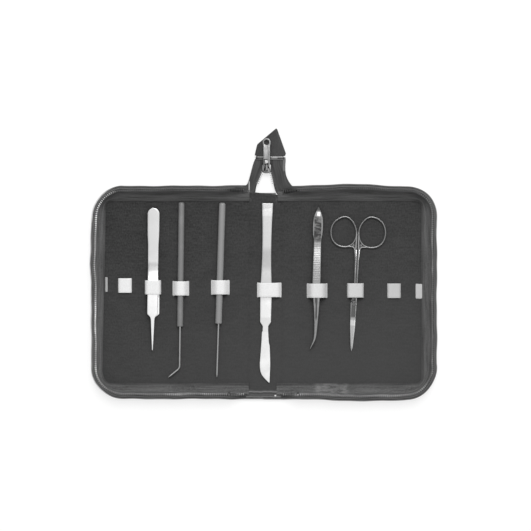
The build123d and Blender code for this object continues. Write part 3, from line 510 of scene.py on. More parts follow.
def piping_skin(name, level, crease_shade_level):
    """Leatherette rolled over a cord: pebbled with painted crease shade, with a painted highlight along its
    outer shoulder and a weaker one along its inner shoulder, and painted light that lightens each side,
    most of all on the left.

    Its UV map runs along the piping and round it from the inner side, 7.85 mm in all.
    """
    f = Finish(name)
    grain = f.group(pebble, Cells_per_metre=1250.0)
    worn = f.group(wear, Patches_per_metre=30.0, Share=0.6)["Mask"]
    f.colour = f.mix(grain["Crease shade"], level, crease_shade_level)
    # Painted light: each side lighter, most of all on the left
    f.tint(f.sides(0.75, 0.45, 0.3, 0.05), level + 48)
    # Painted light: lighter still low down on the left
    f.tint(f.patch(*LOW_LEFT), level + 90, 0.4)
    uneven = f.maths("MULTIPLY_ADD", worn, 0.7, 0.3)
    # Painted highlights along the piping's outer shoulder, and a weaker one along its inner shoulder
    f.tint(f.times(f.window("V", 2.5, 3.3, 0.35), uneven, f.sides(1.0, 0.4, 0.3, 0.1)), 226)
    f.tint(f.times(f.window("V", 0.7, 1.4, 0.3), uneven, f.sides(0.3, 0.9, 0.4, 0.3)), 170)
    return f.end({"Roughness": 0.48, "Specular IOR Level": 0.4}, grain["Height"], 0.12, 0.8)


def wing_cloth(name, level):
    """The tongue's tape: dense dark twill with streaks, a painted glint along the left wing's outer edge, and
    a paler run along the right wing's outer edge.
    """
    f = Finish(name)
    threads = f.group(weave, f.laid, Threads_per_metre=2400.0, Cross_share=0.6)
    drawn = f.mix(f.streaks(0.05, 500.0, place=f.laid), level - 16, level + 18)
    f.colour = f.mix(f.times(threads["Gap"], 0.5), drawn, level - 14)
    # A painted glint along the left wing's outer edge
    f.tint(f.patch((-12.4, -11.7, 0.25), (85, 92.5, 1.5)), 190, 0.75)
    # A paler run along the right wing's outer edge
    f.tint(f.patch((16.6, 18.2, 0.4), (103, 112, 2)), 140, 0.5)
    return f.end(CLOTH, threads["Height"], 0.1, 0.7)


def hem_skin(name, level, lines_at):
    """Leatherette with painted crease shade, pale lines along its sewn ridges and a painted highlight on the
    low hem: lines_at holds places across the hem, from its UV map.
    """
    f = Finish(name)
    grain = f.group(pebble, Cells_per_metre=1200.0)
    speckle = f.group(wear, Patches_per_metre=90.0, Share=0.5)["Speckle"]
    f.colour = f.mix(grain["Crease shade"], level, level - 12)
    for low, high in lines_at:
        f.tint(f.times(f.window("V", low, high, 0.3), speckle), 140)
    # A painted highlight on the low hem
    f.tint(f.patch((9.6, 10.4, 0.6), (-87.4, -86.6, 0.4)), 206)
    return f.end({"Roughness": 0.55}, grain["Height"], 0.08, 0.7)


def elastic_webbing(name, level):
    """White elastic: ribs along it, fine crossing threads, painted shade that greys it towards the right, and
    much darker at its far left end.
    """
    f = Finish(name)
    ribs = f.group(weave, f.laid, Threads_per_metre=1300.0, Cross_share=1.0)
    f.colour = f.mix(f.times(ribs["Gap"], 0.7), level, level - 40)
    f.tint(f.streaks(1.0, 900.0, place=f.laid), level - 110, 0.14)
    # Painted shade: greyer towards the right, as the light falls off
    f.tint(f.span("X", -10, 120), level - 78, 0.75)
    # Much darker at the far left end
    f.tint(f.inverse(f.span("X", -131, -128)), level - 120, 0.7)
    return f.end(CLOTH, ribs["Height"], 0.12, 0.7)


def board_paper(name, level):
    """Raw board: short fibres over a dull grey."""
    f = Finish(name)
    fibres = f.streaks(0.3, 700.0)
    f.colour = f.mix(fibres, level - 14, level + 14)
    return f.end({"Roughness": 0.95}, fibres, 0.05, 0.6)


def plastic(name, level, roughness):
    """Turned plastic: faint clouds of tone along the handle and a handled sheen."""
    f = Finish(name)
    worn = f.group(wear, Patches_per_metre=60.0, Share=0.45)
    f.colour = f.mix(worn["Mask"], level, level + 12)
    f.tint(worn["Speckle"], level - 16, 0.3)
    rough = f.maths("MULTIPLY_ADD", worn["Mask"], 0.15, roughness)
    return f.end({"Roughness": rough}, worn["Speckle"], 0.02, 0.5)


# %% Metals
def steel(name, level, smudge_level, roughness, patches=40.0, tool=CASE, painted_reflections=()):
    """Satin steel with handling smudges, and painted reflections: bands of (low, high, soft, level, share)
    along the tool.
    """
    f = Finish(name, tool)
    worn = f.group(wear, Patches_per_metre=patches, Share=0.45)
    f.colour = f.mix(f.times(worn["Mask"], 0.7), level, smudge_level)
    # Painted reflections: lighter or darker bands along the tool
    for low, high, soft, tone, share in painted_reflections:
        f.tint(f.window("Y", low, high, soft), tone, share)
    f.tint(worn["Speckle"], smudge_level - 30, 0.26)
    return f.end_metal(roughness)


def tooth_metal(name):
    """Teeth of dark metal that catch light in uneven runs, most of all on the left side."""
    f = Finish(name, CASE)
    worn = f.group(wear, Patches_per_metre=42.0, Share=0.55)
    f.colour = f.mix(worn["Speckle"], 52, 80)
    uneven = f.maths("MULTIPLY_ADD", worn["Mask"], 0.65, 0.35)
    f.tint(f.times(uneven, f.sides(1.0, 0.5, 0.24, 0.05)), 232)
    return f.end_metal(0.4)


def mirror_steel(name, tool):
    """The curved forceps: a darker steel with streaks, standing for the dark room it mirrors, painted dark
    reflections clouding the head, a painted highlight at its end, painted shade in the grip's furrows and
    between the leaves, and darker towards the tips.
    """
    f = Finish(name, tool)
    # A darker base: painted reflection of the dark room
    f.colour = f.mix(f.times(f.streaks(2.0, 420.0), 0.4), 140, 108)
    f.tint(f.window("Y", 6, 40, 2), 142, 0.7)
    # Painted dark reflections clouding the head
    painted_dark_reflection = f.mix(f.streaks(0.5, 330.0, 0.1), 50, 112)
    f.tint(f.patch((-2.8, 2.5, 0.8), (41, 61, 1.6)), painted_dark_reflection, 0.95)
    # Painted dark reflection at the head's end, and a painted highlight beside it
    f.tint(f.times(f.span("Y", 65.5, 67.5), f.window("X", -3, 1.4, 0.6)), 62, 0.85)
    f.tint(f.patch((-0.5, 1.3, 0.7), (62.8, 65.2, 1.0)), 228)
    low, high, pitch = GRIP
    along = f.put("ShaderNodeSeparateXYZ", {0: f.place})["Y"]
    ridge = f.maths("SINE", f.times(along, 2 * math.pi / (pitch * MM)))
    ridge = f.maths("MULTIPLY_ADD", ridge, 0.5, 0.5)
    # Painted shade in the grip's furrows
    f.tint(f.times(f.window("Y", low, high, 0.8), ridge), 96, 0.35)
    between = f.patch((-0.5, 1.1, 0.6), (-9, -2, 5))
    lower = f.patch((0.2, 1.0, 0.6), (-22, -10, 5))
    # Painted shade between the two leaves
    f.tint(f.maths("MAXIMUM", between, lower), 66, 0.9)
    f.tint(f.inverse(f.span("Y", -54, -36)), 120, 0.6)
    return f.end({"Roughness": 0.36})


def scissor_steel(name, tool):
    """The scissors: a darker steel standing for the dark room it mirrors, painted dark reflections on the
    rings, on the shanks' flats, leaving thin bright lines along them, and on the blades' flats, lighter
    towards the blades' tips, and a painted glint across the blades.
    """
    f = Finish(name, tool)
    worn = f.group(wear, Patches_per_metre=120.0, Share=0.5)
    # A darker base: painted reflection of the dark room, uneven with handling wear
    f.colour = f.mix(worn["Mask"], 160, 132)
    # Painted dark reflection on the rings, uneven with handling wear
    f.tint(f.span("Y", 33, 37), f.mix(worn["Mask"], 104, 124), 0.85)
    f.tint(f.patch((-1.2, 1.2, 0.5), (34, 47, 3)), 150)
    shanks = (-4, 33, 3)
    # Painted dark reflections on the shanks' flats, leaving thin bright lines between them
    faces = f.maths("ADD", f.patch((-2.1, -0.95, 0.3), shanks), f.patch((0.3, 1.15, 0.3), shanks))
    f.tint(faces, 84, 0.88)
    uneven = f.maths("MULTIPLY_ADD", worn["Speckle"], 0.5, 0.6)
    # Painted dark reflection on the blades' flats
    f.tint(f.times(f.patch((-2.5, 0.7, 0.5), (-22, -6, 2)), uneven), 78)
    # Lighter towards the blades' tips
    f.tint(f.inverse(f.span("Y", -27, -22)), 182, 0.8)
    # A painted glint across the blades
    f.tint(f.window("Y", -29, -26, 1.6), 222, 0.6)
    return f.end_metal(0.26)


def clamp_metal(name):
    """The clamp: dull dark metal with painted glints along its rolled lips and one painted highlight."""
    f = Finish(name, CASE)
    f.colour = f.mix(f.group(wear, Patches_per_metre=160.0, Share=0.5)["Mask"], 58, 76)
    # Painted glints along the rolled lips, stronger to the right
    pale = f.maths("MULTIPLY_ADD", f.span("X", 4, 8), 0.45, 0.35)
    low_lip = f.times(f.window("Y", 110.9, 111.5, 0.25), pale)
    high_lip = f.times(f.window("Y", 113.6, 114.4, 0.25), 0.4)
    f.tint(f.maths("ADD", low_lip, high_lip), 150)
    # A painted highlight near the clamp's right end
    f.tint(f.patch((7.2, 11.0, 1.4), (112.2, 115, 0.4)), 120, 0.6)
    return f.end_metal(0.42)


def slider_metal(name, level, smudge_level):
    """Nickel of the slider and its pull: cloudy, with painted shade where they join and at the slider's
    corners.
    """
    f = Finish(name, CASE)
    worn = f.group(wear, Patches_per_metre=260.0, Share=0.5)["Mask"]
    f.colour = f.mix(f.times(worn, 0.6), level, smudge_level)
    # Painted shade where the pull meets the slider, darkest at its eye
    f.tint(f.patch((0.4, 3.0, 0.6), (109.6, 111.4, 0.8)), 48, 0.9)
    f.tint(f.patch((0.8, 4.0, 0.6), (106.6, 110.4, 0.8)), 76, 0.85)
    # Painted shade at the slider's corners, which rounds its ends
    outside = f.inverse(f.window("X", 0.6, 4.8, 1.6))
    ends = f.maths("ADD", f.inverse(f.span("Y", 100.6, 103.2)), f.window("Y", 107.2, 108.6, 0.8))
    f.tint(f.times(outside, ends), 40)
    return f.end_metal(0.42)


# %% The finishes
# Each tool lies at (x, y) and leans by an angle in degrees
FORCEPS, SCALPEL = (-92.8, 4.1, -0.5), (2.2, 2.6, -1.0)
CURVED_FORCEPS, SCISSORS = (44.2, 1.7, -1.7), (77.2, 1.7, -2.6)
BENT_NEEDLE, STRAIGHT_NEEDLE = (-69.7, 4.1, -0.7), (-36.8, 4.1, -1.8)
# The curved forceps' grip: from, to and pitch along the tool
GRIP = (8.0, 38.0, 1.5)
skin_finish = leatherette("black_leatherette", 52, 34, 0.5)
bead_finish = piping_skin("piping_leatherette", 56, 38)
lining_finish = lining_nylon("lining_cloth", 48, 40)
tape_finish = tape_cloth("zip_tape_cloth", 68, 50)
wing_finish = wing_cloth("tongue_cloth", 70)
elastic_finish = elastic_webbing("elastic_webbing", 253)
board_finish = board_paper("grey_board", 114)
tooth_finish = tooth_metal("tooth_metal")
tongue_tooth_finish = steel("tongue_tooth_metal", 150, 110, 0.36, patches=90.0)
stop_finish = steel("stop_metal", 68, 56, 0.4)
screw_finish = steel("screw_metal", 104, 84, 0.36)
dark_plastic = plastic("dark_handle", 118, 0.42)
grey_plastic = plastic("grey_handle", 136, 0.4)
low_hem_finish = hem_skin("hem_leatherette", 58, [(1.3, 2.1), (5.8, 6.5)])
top_hem_finish = hem_skin("top_hem_leatherette", 42, [])
# The forceps and the scalpel get painted reflections along them
forceps_steel = steel(
    "forceps_steel", 198, 180, 0.34, patches=60.0, tool=FORCEPS,
    painted_reflections=[(58, 70, 8, 190, 0.6), (15.5, 18.5, 4, 128, 0.7), (-70, 8, 4, 238, 0.9)],
)
scalpel_steel = steel(
    "scalpel_steel", 190, 176, 0.34, patches=60.0, tool=SCALPEL,
    painted_reflections=[(68, 75, 2, 158, 0.8), (62.5, 65.5, 2, 214, 0.6), (20, 30, 7, 160, 0.7), (-80, -12, 8, 228, 0.85)],
)
curved_steel = mirror_steel("curved_steel", CURVED_FORCEPS)
scissors_steel = scissor_steel("scissors_steel", SCISSORS)
wire_steel = steel("wire_steel", 168, 134, 0.3)
slider_nickel = slider_metal("slider_nickel", 120, 88)
clamp_finish = clamp_metal("clamp_metal")
print("finishes:", len(bpy.data.materials))

# %% [markdown]
# ## The rim of a half
#
# Each half has a wall round its three free sides: a piped seam at the bottom, a soft side wall that
# bulges a little, and the zip tape, which slopes down inside to the lining. All of them follow one
# outline, so each is a section in (u, z), where u is how far inside the outline it is, carried
# along the same stations. The wall isn't straight in a used case, so the outline sways a little.

# %% Sizes of the case
FOLD_X = 14.0
OUTER_X = 145.4
EDGE_Y = 89.0
TOP_RADIUS = 25.5
BOTTOM_RADIUS = 29.0
TAPE_FOOT = 12.6
TAPE_LINE = 4.45
FOOT_RADIUS = 4.5
TEETH_START = 17.6
# Spacing of the stations along the outline, for the rim and for the line that the teeth stand on
RIM_STEP, TEETH_STEP = 1.5, 0.5
# Name of each half, whether it is mirrored, and its sign along X
HALVES = (("right", False, 1), ("left", True, -1))


# %% The outline, and where the tape's foot is
def outline_stations(step, top_start, bottom_start):
    """Stations along a half's outline from the top fold end round to the bottom one.

    Returns points (x, y), inward normals, the distance along, and how many stations each part has.
    Straight edges are lerped, and the corners are quarter circles: centre + radius * (sin a, cos a),
    with a from 0 to 90 degrees.
    """
    top_centre = np.array([OUTER_X - TOP_RADIUS, EDGE_Y - TOP_RADIUS])
    low_centre = np.array([OUTER_X - BOTTOM_RADIUS, -EDGE_Y + BOTTOM_RADIUS])

    def count(length):
        return max(int(length / step), 6)

    def edge(start, end):
        return np.linspace(start, end, count(max(np.abs(np.subtract(end, start)))))

    a = np.linspace(0, np.pi / 2, count(TOP_RADIUS * 1.57))[1:-1, None]
    b = np.linspace(0, np.pi / 2, count(BOTTOM_RADIUS * 1.57))[1:-1, None]
    top = edge([top_start, EDGE_Y], [top_centre[0], EDGE_Y])
    side = edge([OUTER_X, top_centre[1]], [OUTER_X, low_centre[1]])
    low = edge([low_centre[0], -EDGE_Y], [bottom_start, -EDGE_Y])
    turn = np.concatenate([np.sin(a), np.cos(a)], 1)
    back = np.concatenate([np.cos(b), -np.sin(b)], 1)
    corners = (top_centre + TOP_RADIUS * turn, low_centre + BOTTOM_RADIUS * back)
    points = np.concatenate([top, corners[0], side, corners[1], low])
    down, in_x, up = (
        np.tile(way, (len(run), 1)) for way, run in (([0, -1], top), ([-1, 0], side), ([0, 1], low))
    )
    inward = np.concatenate([down, -turn, in_x, -back, up])
    return points, inward, distance(points), [len(top), len(a), len(side), len(b), len(low)]


def tape_feet(points, inward, counts, mirrored):
    """Where the tape's foot is at each station: straight runs, and corners of FOOT_RADIUS only.

    The outline's quarter circle is large and the foot's is small, so a foot corner is a path of a
    straight piece, a quarter circle and a straight piece, shared out evenly over the stations. On
    the left the feet drift outward by up to 2.7 mm on the way down.
    """
    feet = points + inward * TAPE_FOOT
    for part, radius in ((1, TOP_RADIUS), (3, BOTTOM_RADIUS)):
        first, count = sum(counts[:part]), counts[part]
        far = radius - TAPE_FOOT
        a = np.linspace(0, np.pi / 2, 12)
        arc = far - FOOT_RADIUS + FOOT_RADIUS * np.stack([np.sin(a), np.cos(a)], 1)
        path = np.concatenate([[[0, far]], arc, [[far, 0]]])
        if part == 3:
            path = path[::-1] * [1, -1]
        length = distance(path)
        corner = lerp(path, length, np.linspace(0, length[-1], count + 2)[1:-1])
        centre = [OUTER_X - radius, (EDGE_Y - radius) * (1 if part == 1 else -1)]
        feet[first : first + count] = corner + centre
    if mirrored:
        drift = np.clip((60 - feet[:, 1]) / 125, 0, 1) * np.clip((feet[:, 1] + 76.4) / 9, 0, 1)
        feet[:, 0] += 2.7 * drift * np.clip((feet[:, 0] - 100) / 32, 0, 1)
    return feet


print("outline of a half:", round(float(outline_stations(RIM_STEP, FOLD_X, FOLD_X)[2][-1])), "mm long")


# %% How the wall leans and sinks
def hill(x, middle, width):
    """1 at the middle, falling as exp(-((x - middle) / width)^2)."""
    return np.exp(-(((x - middle) / width) ** 2))


def sway(points, along, mirrored):
    """How far the wall leans out at each station, in millimetres.

    Slow waves, an amount for each side, and an amount for each corner: the corner's share is 1 at
    its middle, 4 * side * edge, where both run from 0 to 1 and cross at the corner.
    """
    x, y = points.T
    phase = 2.1 if mirrored else 0.4
    waves = 0.22 * np.sin(along / 9.3 + phase) + 0.14 * np.sin(along / 3.9 + 2 * phase)
    side = np.clip((x - 120) / 25, 0, 1)
    low, high = np.clip((-60 - y) / 29, 0, 1), np.clip((y - 60) / 29, 0, 1)
    low_corner, high_corner = 4 * side * low * (1 - side * low), 4 * side * high * (1 - side * high)
    if mirrored:
        bulge = 1.1 * low + 0.5 * high + side * (0.9 * hill(y, 22, 14) - 0.15)
        bulge = bulge - 1.0 * high_corner + 0.35 * low_corner + 0.5 * hill(x, 18, 25) * high
    else:
        bulge = (1.3 + 1.6 * hill(x, 88, 36)) * low + (-0.25 + 2.3 * hill(x, 70, 36)) * high
        bulge = bulge + 0.6 * side + 0.4 * high_corner + 0.7 * low_corner
    return waves * np.clip((x - FOLD_X) / 12, 0, 1) + bulge


def ramp(x, z):
    """The wall's height near the fold: what stands over 4.1 sinks to a twentieth from x 29 to x 15."""
    share = 0.05 + 0.95 * np.clip((x - 15.2) / 14.0, 0, 1) ** 1.3
    return np.where(z > 4.1, 4.1 + (z - 4.1) * share, z)


# %% A section carried round a half
def rim_strip(name, section, finish, mirrored, line=None, starts=(14.7, 14.7), across=None):
    """A closed section in (u, z) carried round a half.

    Up to TAPE_LINE a point is the outline + (u - sway) * inward. Past it the point goes on in a
    straight line to the tape's foot, whose corners are squarer than the outline's. Where line is
    given, it is the section's middle line: it sinks near the fold, and the thickness stays on it.
    """
    base, inward, along, counts = outline_stations(RIM_STEP, *starts)
    feet = tape_feet(base, inward, counts, mirrored)
    u, z = section[None, :, 0], section[None, :, 1]
    near = np.minimum(u, TAPE_LINE) - sway(base, along, mirrored)[:, None]
    share = np.clip((u - TAPE_LINE) / (TAPE_FOOT - TAPE_LINE), 0, 1)
    x, y = (base[:, axis, None] + inward[:, axis, None] * near for axis in (0, 1))
    x, y = x + (feet[:, :1] - x) * share, y + (feet[:, 1:] - y) * share
    height = np.broadcast_to(z, x.shape)
    if line is not None:
        middle = np.concatenate([line, line[::-1], line[:1]])[None, :, 1]
        height = ramp(x, np.broadcast_to(middle, x.shape)) + z - middle
    points = np.stack([-x if mirrored else x, y, height], -1)
    return strip(name, points, finish, along[:, None], distance(section) if across is None else across)


# %% Sections of the rim
angle = np.linspace(0, 2 * np.pi, 17)
bead_section = np.stack([1.25 + 1.25 * np.cos(angle), 1.95 + 1.25 * np.sin(angle)], 1)
wall_line = chaikin([(6.4, 2.2), (3.1, 2.2), (3.0, 3.6), (2.3, 6.2), (2.3, 8.4), (3.6, 11.8)], 2)
tape_line = chaikin([(4.45, 12.5), (4.45, 10.2), (5.2, 8.4), (8.0, 5.6), (10.6, 4.2), (12.6, 4.1)], 2)
tape_across = distance(tape_line)
tape_across = np.concatenate([tape_across, tape_across[::-1], [0]])

for side, mirrored, sign in HALVES:
    body = f"{side}_half"
    bead = rim_strip(
        f"{side}_piping_bead", bead_section, bead_finish, mirrored, starts=(14.7, 0.0)
    )
    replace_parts(bead, f"{side}_piping")
    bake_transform(bead)
    section = thick_line(wall_line, 1.0)
    wall = rim_strip(f"{side}_side_wall", section, skin_finish, mirrored, line=wall_line)
    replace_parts(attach(wall, body), f"{side}_gusset")
    tape = rim_strip(
        f"{side}_tape", thick_line(tape_line, 0.7), tape_finish, mirrored,
        line=tape_line, starts=(11.8, 12.4 if mirrored else 11.0), across=tape_across,
    )
    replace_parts(tape, f"{side}_zip_tape")
    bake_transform(tape)
    print(side, "rim:", len(bead.data.polygons), len(wall.data.polygons), len(tape.data.polygons), "faces")

# %% [markdown]
# ## Skins and linings
#
# The leatherette outside and the cloth inside run across both folds, so each half's sheet reaches to
# the middle of the spine. A sheet is made of sections that run from the bottom edge to the top edge.
# They spread out along X and follow the rounded corners at the end.


# %% Sheets that fill a half
def half_sheet(name, inset, top_of, thickness, finish, mirrored, near_top, near_low, rows=60):
    """A thin closed sheet: sections in Y and Z at many X, each there and back on its two faces.

    Past the corner's start, X is centre + radius * sin(a) and the edge sinks as radius * cos(a).
    Near the middle the edges move to near_top and near_low. top_of(x) is the upper face's height.
    """
    near = np.array([0, 6, 9, 10.5, 11.5, 12.5, 13.2, 14, 14.8, 15.5, 16.5, 17.5, 19, 24])
    start, low_start = OUTER_X - TOP_RADIUS, OUTER_X - BOTTOM_RADIUS
    straight = np.concatenate([near, np.linspace(30, start, 26)[:-1]])
    low_straight = np.where(straight < 30, straight, straight * low_start / start)
    a = np.linspace(0, np.pi / 2, 16)

    def edge(run, begins, radius):
        x = np.concatenate([run, begins + radius * np.sin(a)])
        reach = EDGE_Y - inset
        return x, np.concatenate([np.full(len(run), reach), reach - radius * (1 - np.cos(a))])

    top_x, top_y = edge(straight, start, TOP_RADIUS - inset)
    low_x, low_y = edge(low_straight, low_start, BOTTOM_RADIUS - inset)
    slant = near_top + (0.103 if mirrored else -0.103) * top_x
    top_y = top_y + (slant - top_y) * np.clip((17.0 - top_x) / 3.0, 0, 1)
    low_y = -low_y + (near_low + low_y) * np.clip((17.0 - low_x) / 3.0, 0, 1)
    q = np.linspace(0, 1, rows)[None, :]
    x = low_x[:, None] + (top_x - low_x)[:, None] * q
    y = low_y[:, None] + (top_y - low_y)[:, None] * q
    upper = top_of(x)
    across = there_and_back(-x if mirrored else x)
    points = np.stack([across, there_and_back(y), there_and_back(upper, upper - thickness)], -1)
    return strip(name, points, finish)


def lining_top(x):
    """Level at 3.8, with a soft valley 0.8 deep over the fold."""
    return 3.8 - 0.8 * hill(x, FOLD_X, 2.6)


def skin_top(x):
    """Level at 1.2, the upper face of the leatherette."""
    return np.full_like(x, 1.2)


for side, mirrored, sign in HALVES:
    skin = half_sheet(
        f"{side}_skin", 2.0, skin_top, 1.2, skin_finish, mirrored, 82.9, -88.2, rows=40
    )
    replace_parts(skin, f"{side}_cover", "spine_cover")
    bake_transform(skin)
    lining = half_sheet(
        f"{side}_lining_cloth", 7.0, lining_top, 0.8, lining_finish, mirrored, 83.2, -87.2
    )
    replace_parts(lining, f"{side}_lining", "spine_lining")
    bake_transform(lining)
    print(side, "sheets:", len(skin.data.polygons), len(lining.data.polygons), "faces")

# %% [markdown]
# ## Zip teeth
#
# Each tooth is a small stamped block that is clamped over the tape's edge, with a waist and a
# rounded head. One tooth has a few dozen faces, and a row is that tooth repeated at every place,
# turned to stand across the row.

# %% One tooth and a row of them
TOOTH_PITCH = 1.7
# Levels of the tooth: height, half width along the row, half width across it
tooth_levels = np.array([
    [-1.5, 0.45, 0.75], [-1.3, 0.58, 0.9], [0.0, 0.58, 0.9], [0.5, 0.5, 0.85], [0.9, 0.4, 0.85],
    [1.5, 0.58, 0.9], [1.85, 0.5, 0.8], [2.0, 0.3, 0.55],
])
corner = [[1, 0.5], [0.6, 1], [-0.6, 1], [-1, 0.5], [-1, -0.5], [-0.6, -1], [0.6, -1], [1, -0.5], [1, 0.5]]
flat = tooth_levels[:, None, 1:] * np.array(corner)[None]
height = np.broadcast_to(tooth_levels[:, None, :1], (*flat.shape[:2], 1))
tooth_points = np.concatenate([flat, height], -1).reshape(-1, 3)
tooth_faces = strip_faces(len(tooth_levels), len(corner))


def row_of_teeth(name, places, run, up, finish, size):
    """Teeth at places: point = place + x * run + y * (up cross run) + z * up, for all teeth at once."""
    tooth = tooth_points * np.array(size)
    points = places[:, None, :]
    for axis, way in enumerate((run, np.cross(up, run), up)):
        points = points + tooth[None, :, axis, None] * way[:, None, :]
    shift = (np.arange(len(places)) * len(tooth_points))[:, None, None]
    faces = [(face[None] + shift).reshape(-1, face.shape[1]) for face in tooth_faces]
    return piece(name, points.reshape(-1, 3), faces, finish)


for side, mirrored, sign in HALVES:
    base, inward, along, _ = outline_stations(TEETH_STEP, TEETH_START, TEETH_START)
    flat = base + inward * (TAPE_LINE - sway(base, along, mirrored)[:, None])
    line = np.column_stack([flat, ramp(flat[:, 0], np.full(len(flat), 12.2))])
    places = resample(line, TOOTH_PITCH)[0]
    run = unit(np.gradient(places, axis=0))
    up = np.tile([0.0, 0.0, 1.0], (len(places), 1))
    up = unit(up - run * np.sum(up * run, 1, keepdims=True))
    places, run, up = (vectors * [sign, 1, 1] for vectors in (places, run, up))
    teeth = row_of_teeth(f"{side}_teeth", places, run, up, tooth_finish, (0.9, 1.05, 0.9))
    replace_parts(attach(teeth, f"{side}_half"), f"{side}_zip_teeth")
    print(side, "teeth:", len(places))

# %% [markdown]
# ## Elastic loops
#
# One strip of elastic is woven up and down through the lining. Over a thick handle it stands like a
# tent, over a flat tool it lies like a low box, and each empty loop is nearly flat. Its path in X
# and Z is rounded by cutting corners, then given the strip's thickness and width.

# %% The woven strip
BAND_WIDTH = 12.6
# Heights of the strip's middle line: under the lining, in a slit, and where a loop's height is counted from
UNDER, SLIT, LOOP_BASE = 2.5, 3.6, 3.4
# Middle, width over the slits, width of the top, height over the lining, and place along Y
left_loops = [
    (-132.15, 2.2, 1.0, 1.0, 6.4),
    (-116.5, 11.4, 9.4, 2.2, 5.6),
    (-92.9, 13.4, 12.0, 7.6, 4.1),
    (-69.5, 13.9, 6.0, 6.2, 3.2),
    (-36.3, 15.6, 6.6, 6.7, 4.1),
]
spine_loops = [(4.7, 20.2, 14.0, 4.0, 1.9)]
right_loops = [(45.1, 17.3, 9.4, 7.6, 1.3), (77.3, 13.8, 12.0, 4.6, 1.5), (109.8, 11.3, 9.2, 2.2, 1.2)]


def band_path(loops, start, end, tucked=0.0):
    """The strip's middle line: low under the lining, up at each slit, over the tool and down again.

    A tucked end lies on the lining for that length.
    """
    points = [(start, UNDER)]
    for middle, width, top, height, _ in loops:
        half, z = width / 2, LOOP_BASE + height
        rise = [(-half - 0.2, UNDER), (-half + 0.3, SLIT), (-top / 2, z - 0.1), (0, z)]
        points += [(middle + x, z) for x, z in rise] + [(middle - x, z) for x, z in rise[-2::-1]]
    if tucked > 0:
        return points + [(end - tucked - 0.5, UNDER), (end - tucked, 4.2), (end, 4.2)]
    return points + [(end, UNDER)]


def woven_band(name, loops, start, end, node, end_y, tucked=0.0):
    """The strip as a closed section across its width, carried along its path.

    The section's middle in Y holds still over a loop and moves to the next loop's between them.
    Over a loop the edges draw in a little: width * (1 - 0.05 * rise), with rise from 0 to 1.
    """
    line, along = resample(chaikin(band_path(loops, start, end, tucked), 2), 0.5)
    side = left_of(unit(np.gradient(line, axis=0)))
    half, thick = BAND_WIDTH / 2, 0.4
    section = [(-half, 0.1), (-half + 0.2, thick), (half - 0.2, thick), (half, 0.1), (half, -thick),
               (-half, -thick), (-half, 0.1)]
    section = resample(section, 0.9)[0]
    knots = [middle + way * width / 2 for middle, width, *_ in loops for way in (-1, 1)]
    levels = np.repeat([loop[4] for loop in loops], 2)
    knots, levels = [start, *knots, end], [end_y[0], *levels, end_y[1]]
    middle_y = np.interp(line[:, 0], knots, levels)[:, None]
    narrow = 1 - 0.05 * np.clip((line[:, 1] - LOOP_BASE) / 4.0, 0, 1)[:, None]
    x, z = (line[:, axis, None] + side[:, axis, None] * section[None, :, 1] for axis in (0, 1))
    points = np.stack([x, middle_y + narrow * section[None, :, 0], z], -1)
    band = strip(name, points, elastic_finish, along[:, None], section[None, :, 0])
    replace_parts(band, node)
    print(name, "is", round(float(along[-1])), "mm long")
    return band


left_band = woven_band("left_band", left_loops, -134.4, -17.9, "left_elastic", (6.4, 4.0))
right_band = woven_band("right_band", right_loops, 17.9, 133.4, "right_elastic", (1.5, 0.7), 5.0)
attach(left_band, "left_half")
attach(right_band, "right_half")
spine_band = woven_band("spine_band", spine_loops, -10.1, 16.4, "spine_elastic", (2.4, 1.8))
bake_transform(spine_band)

# %% [markdown]
# ## The zip tongue
#
# Past the case both tapes run on together as a tongue, with the slider parked on it. Each tape is a
# wing between two lines: the toothed inner edge and the flaring outer edge. At the case it curves
# down from the wall's top.

# %% Wings of tape
wing_lines = {
    "right": (
        [(29, 84.6, 12.0), (22, 83.4, 7.6), (17, 82.2, 4.6), (13, 81.4, 3.5), (11.3, 82.3, 3.35),
         (9.5, 86, 3.35), (8.6, 90, 3.35), (7.9, 93.8, 3.35), (6.8, 98.4, 3.35), (5.3, 102.6, 3.35),
         (4.1, 106.5, 3.35), (4.1, 113.4, 3.35)],
        [(33, 87.4, 9.5), (28, 88.0, 7.4), (24.8, 88.6, 5.6), (22.7, 90.9, 4.2), (20.6, 94.2, 3.6),
         (18.9, 98.4, 3.35), (18.4, 102.6, 3.35), (18.4, 106.9, 3.35), (18.8, 111, 3.35),
         (18.4, 113.4, 3.35)],
    ),
    "left": (
        [(-29, 84.6, 12.0), (-21, 83.9, 7.4), (-14.5, 83.3, 4.4), (-9.5, 82.8, 3.5), (-6.9, 83.2, 3.35),
         (-6.6, 86, 3.35), (-5.7, 90.3, 3.35), (-4.0, 94.2, 3.35), (-2.3, 98.4, 3.35), (-0.6, 102.4, 3.35),
         (1.1, 106.5, 3.35), (1.1, 112.7, 3.35)],
        [(-29, 87.0, 9.0), (-22, 88.4, 6.0), (-16.5, 89.0, 4.4), (-14.0, 90.2, 3.6), (-12.6, 93.4, 3.35),
         (-11.2, 98.4, 3.35), (-10.1, 102.6, 3.35), (-9.0, 106.9, 3.35), (-7.6, 111, 3.35),
         (-6.4, 112.7, 3.35)],
    ),
}
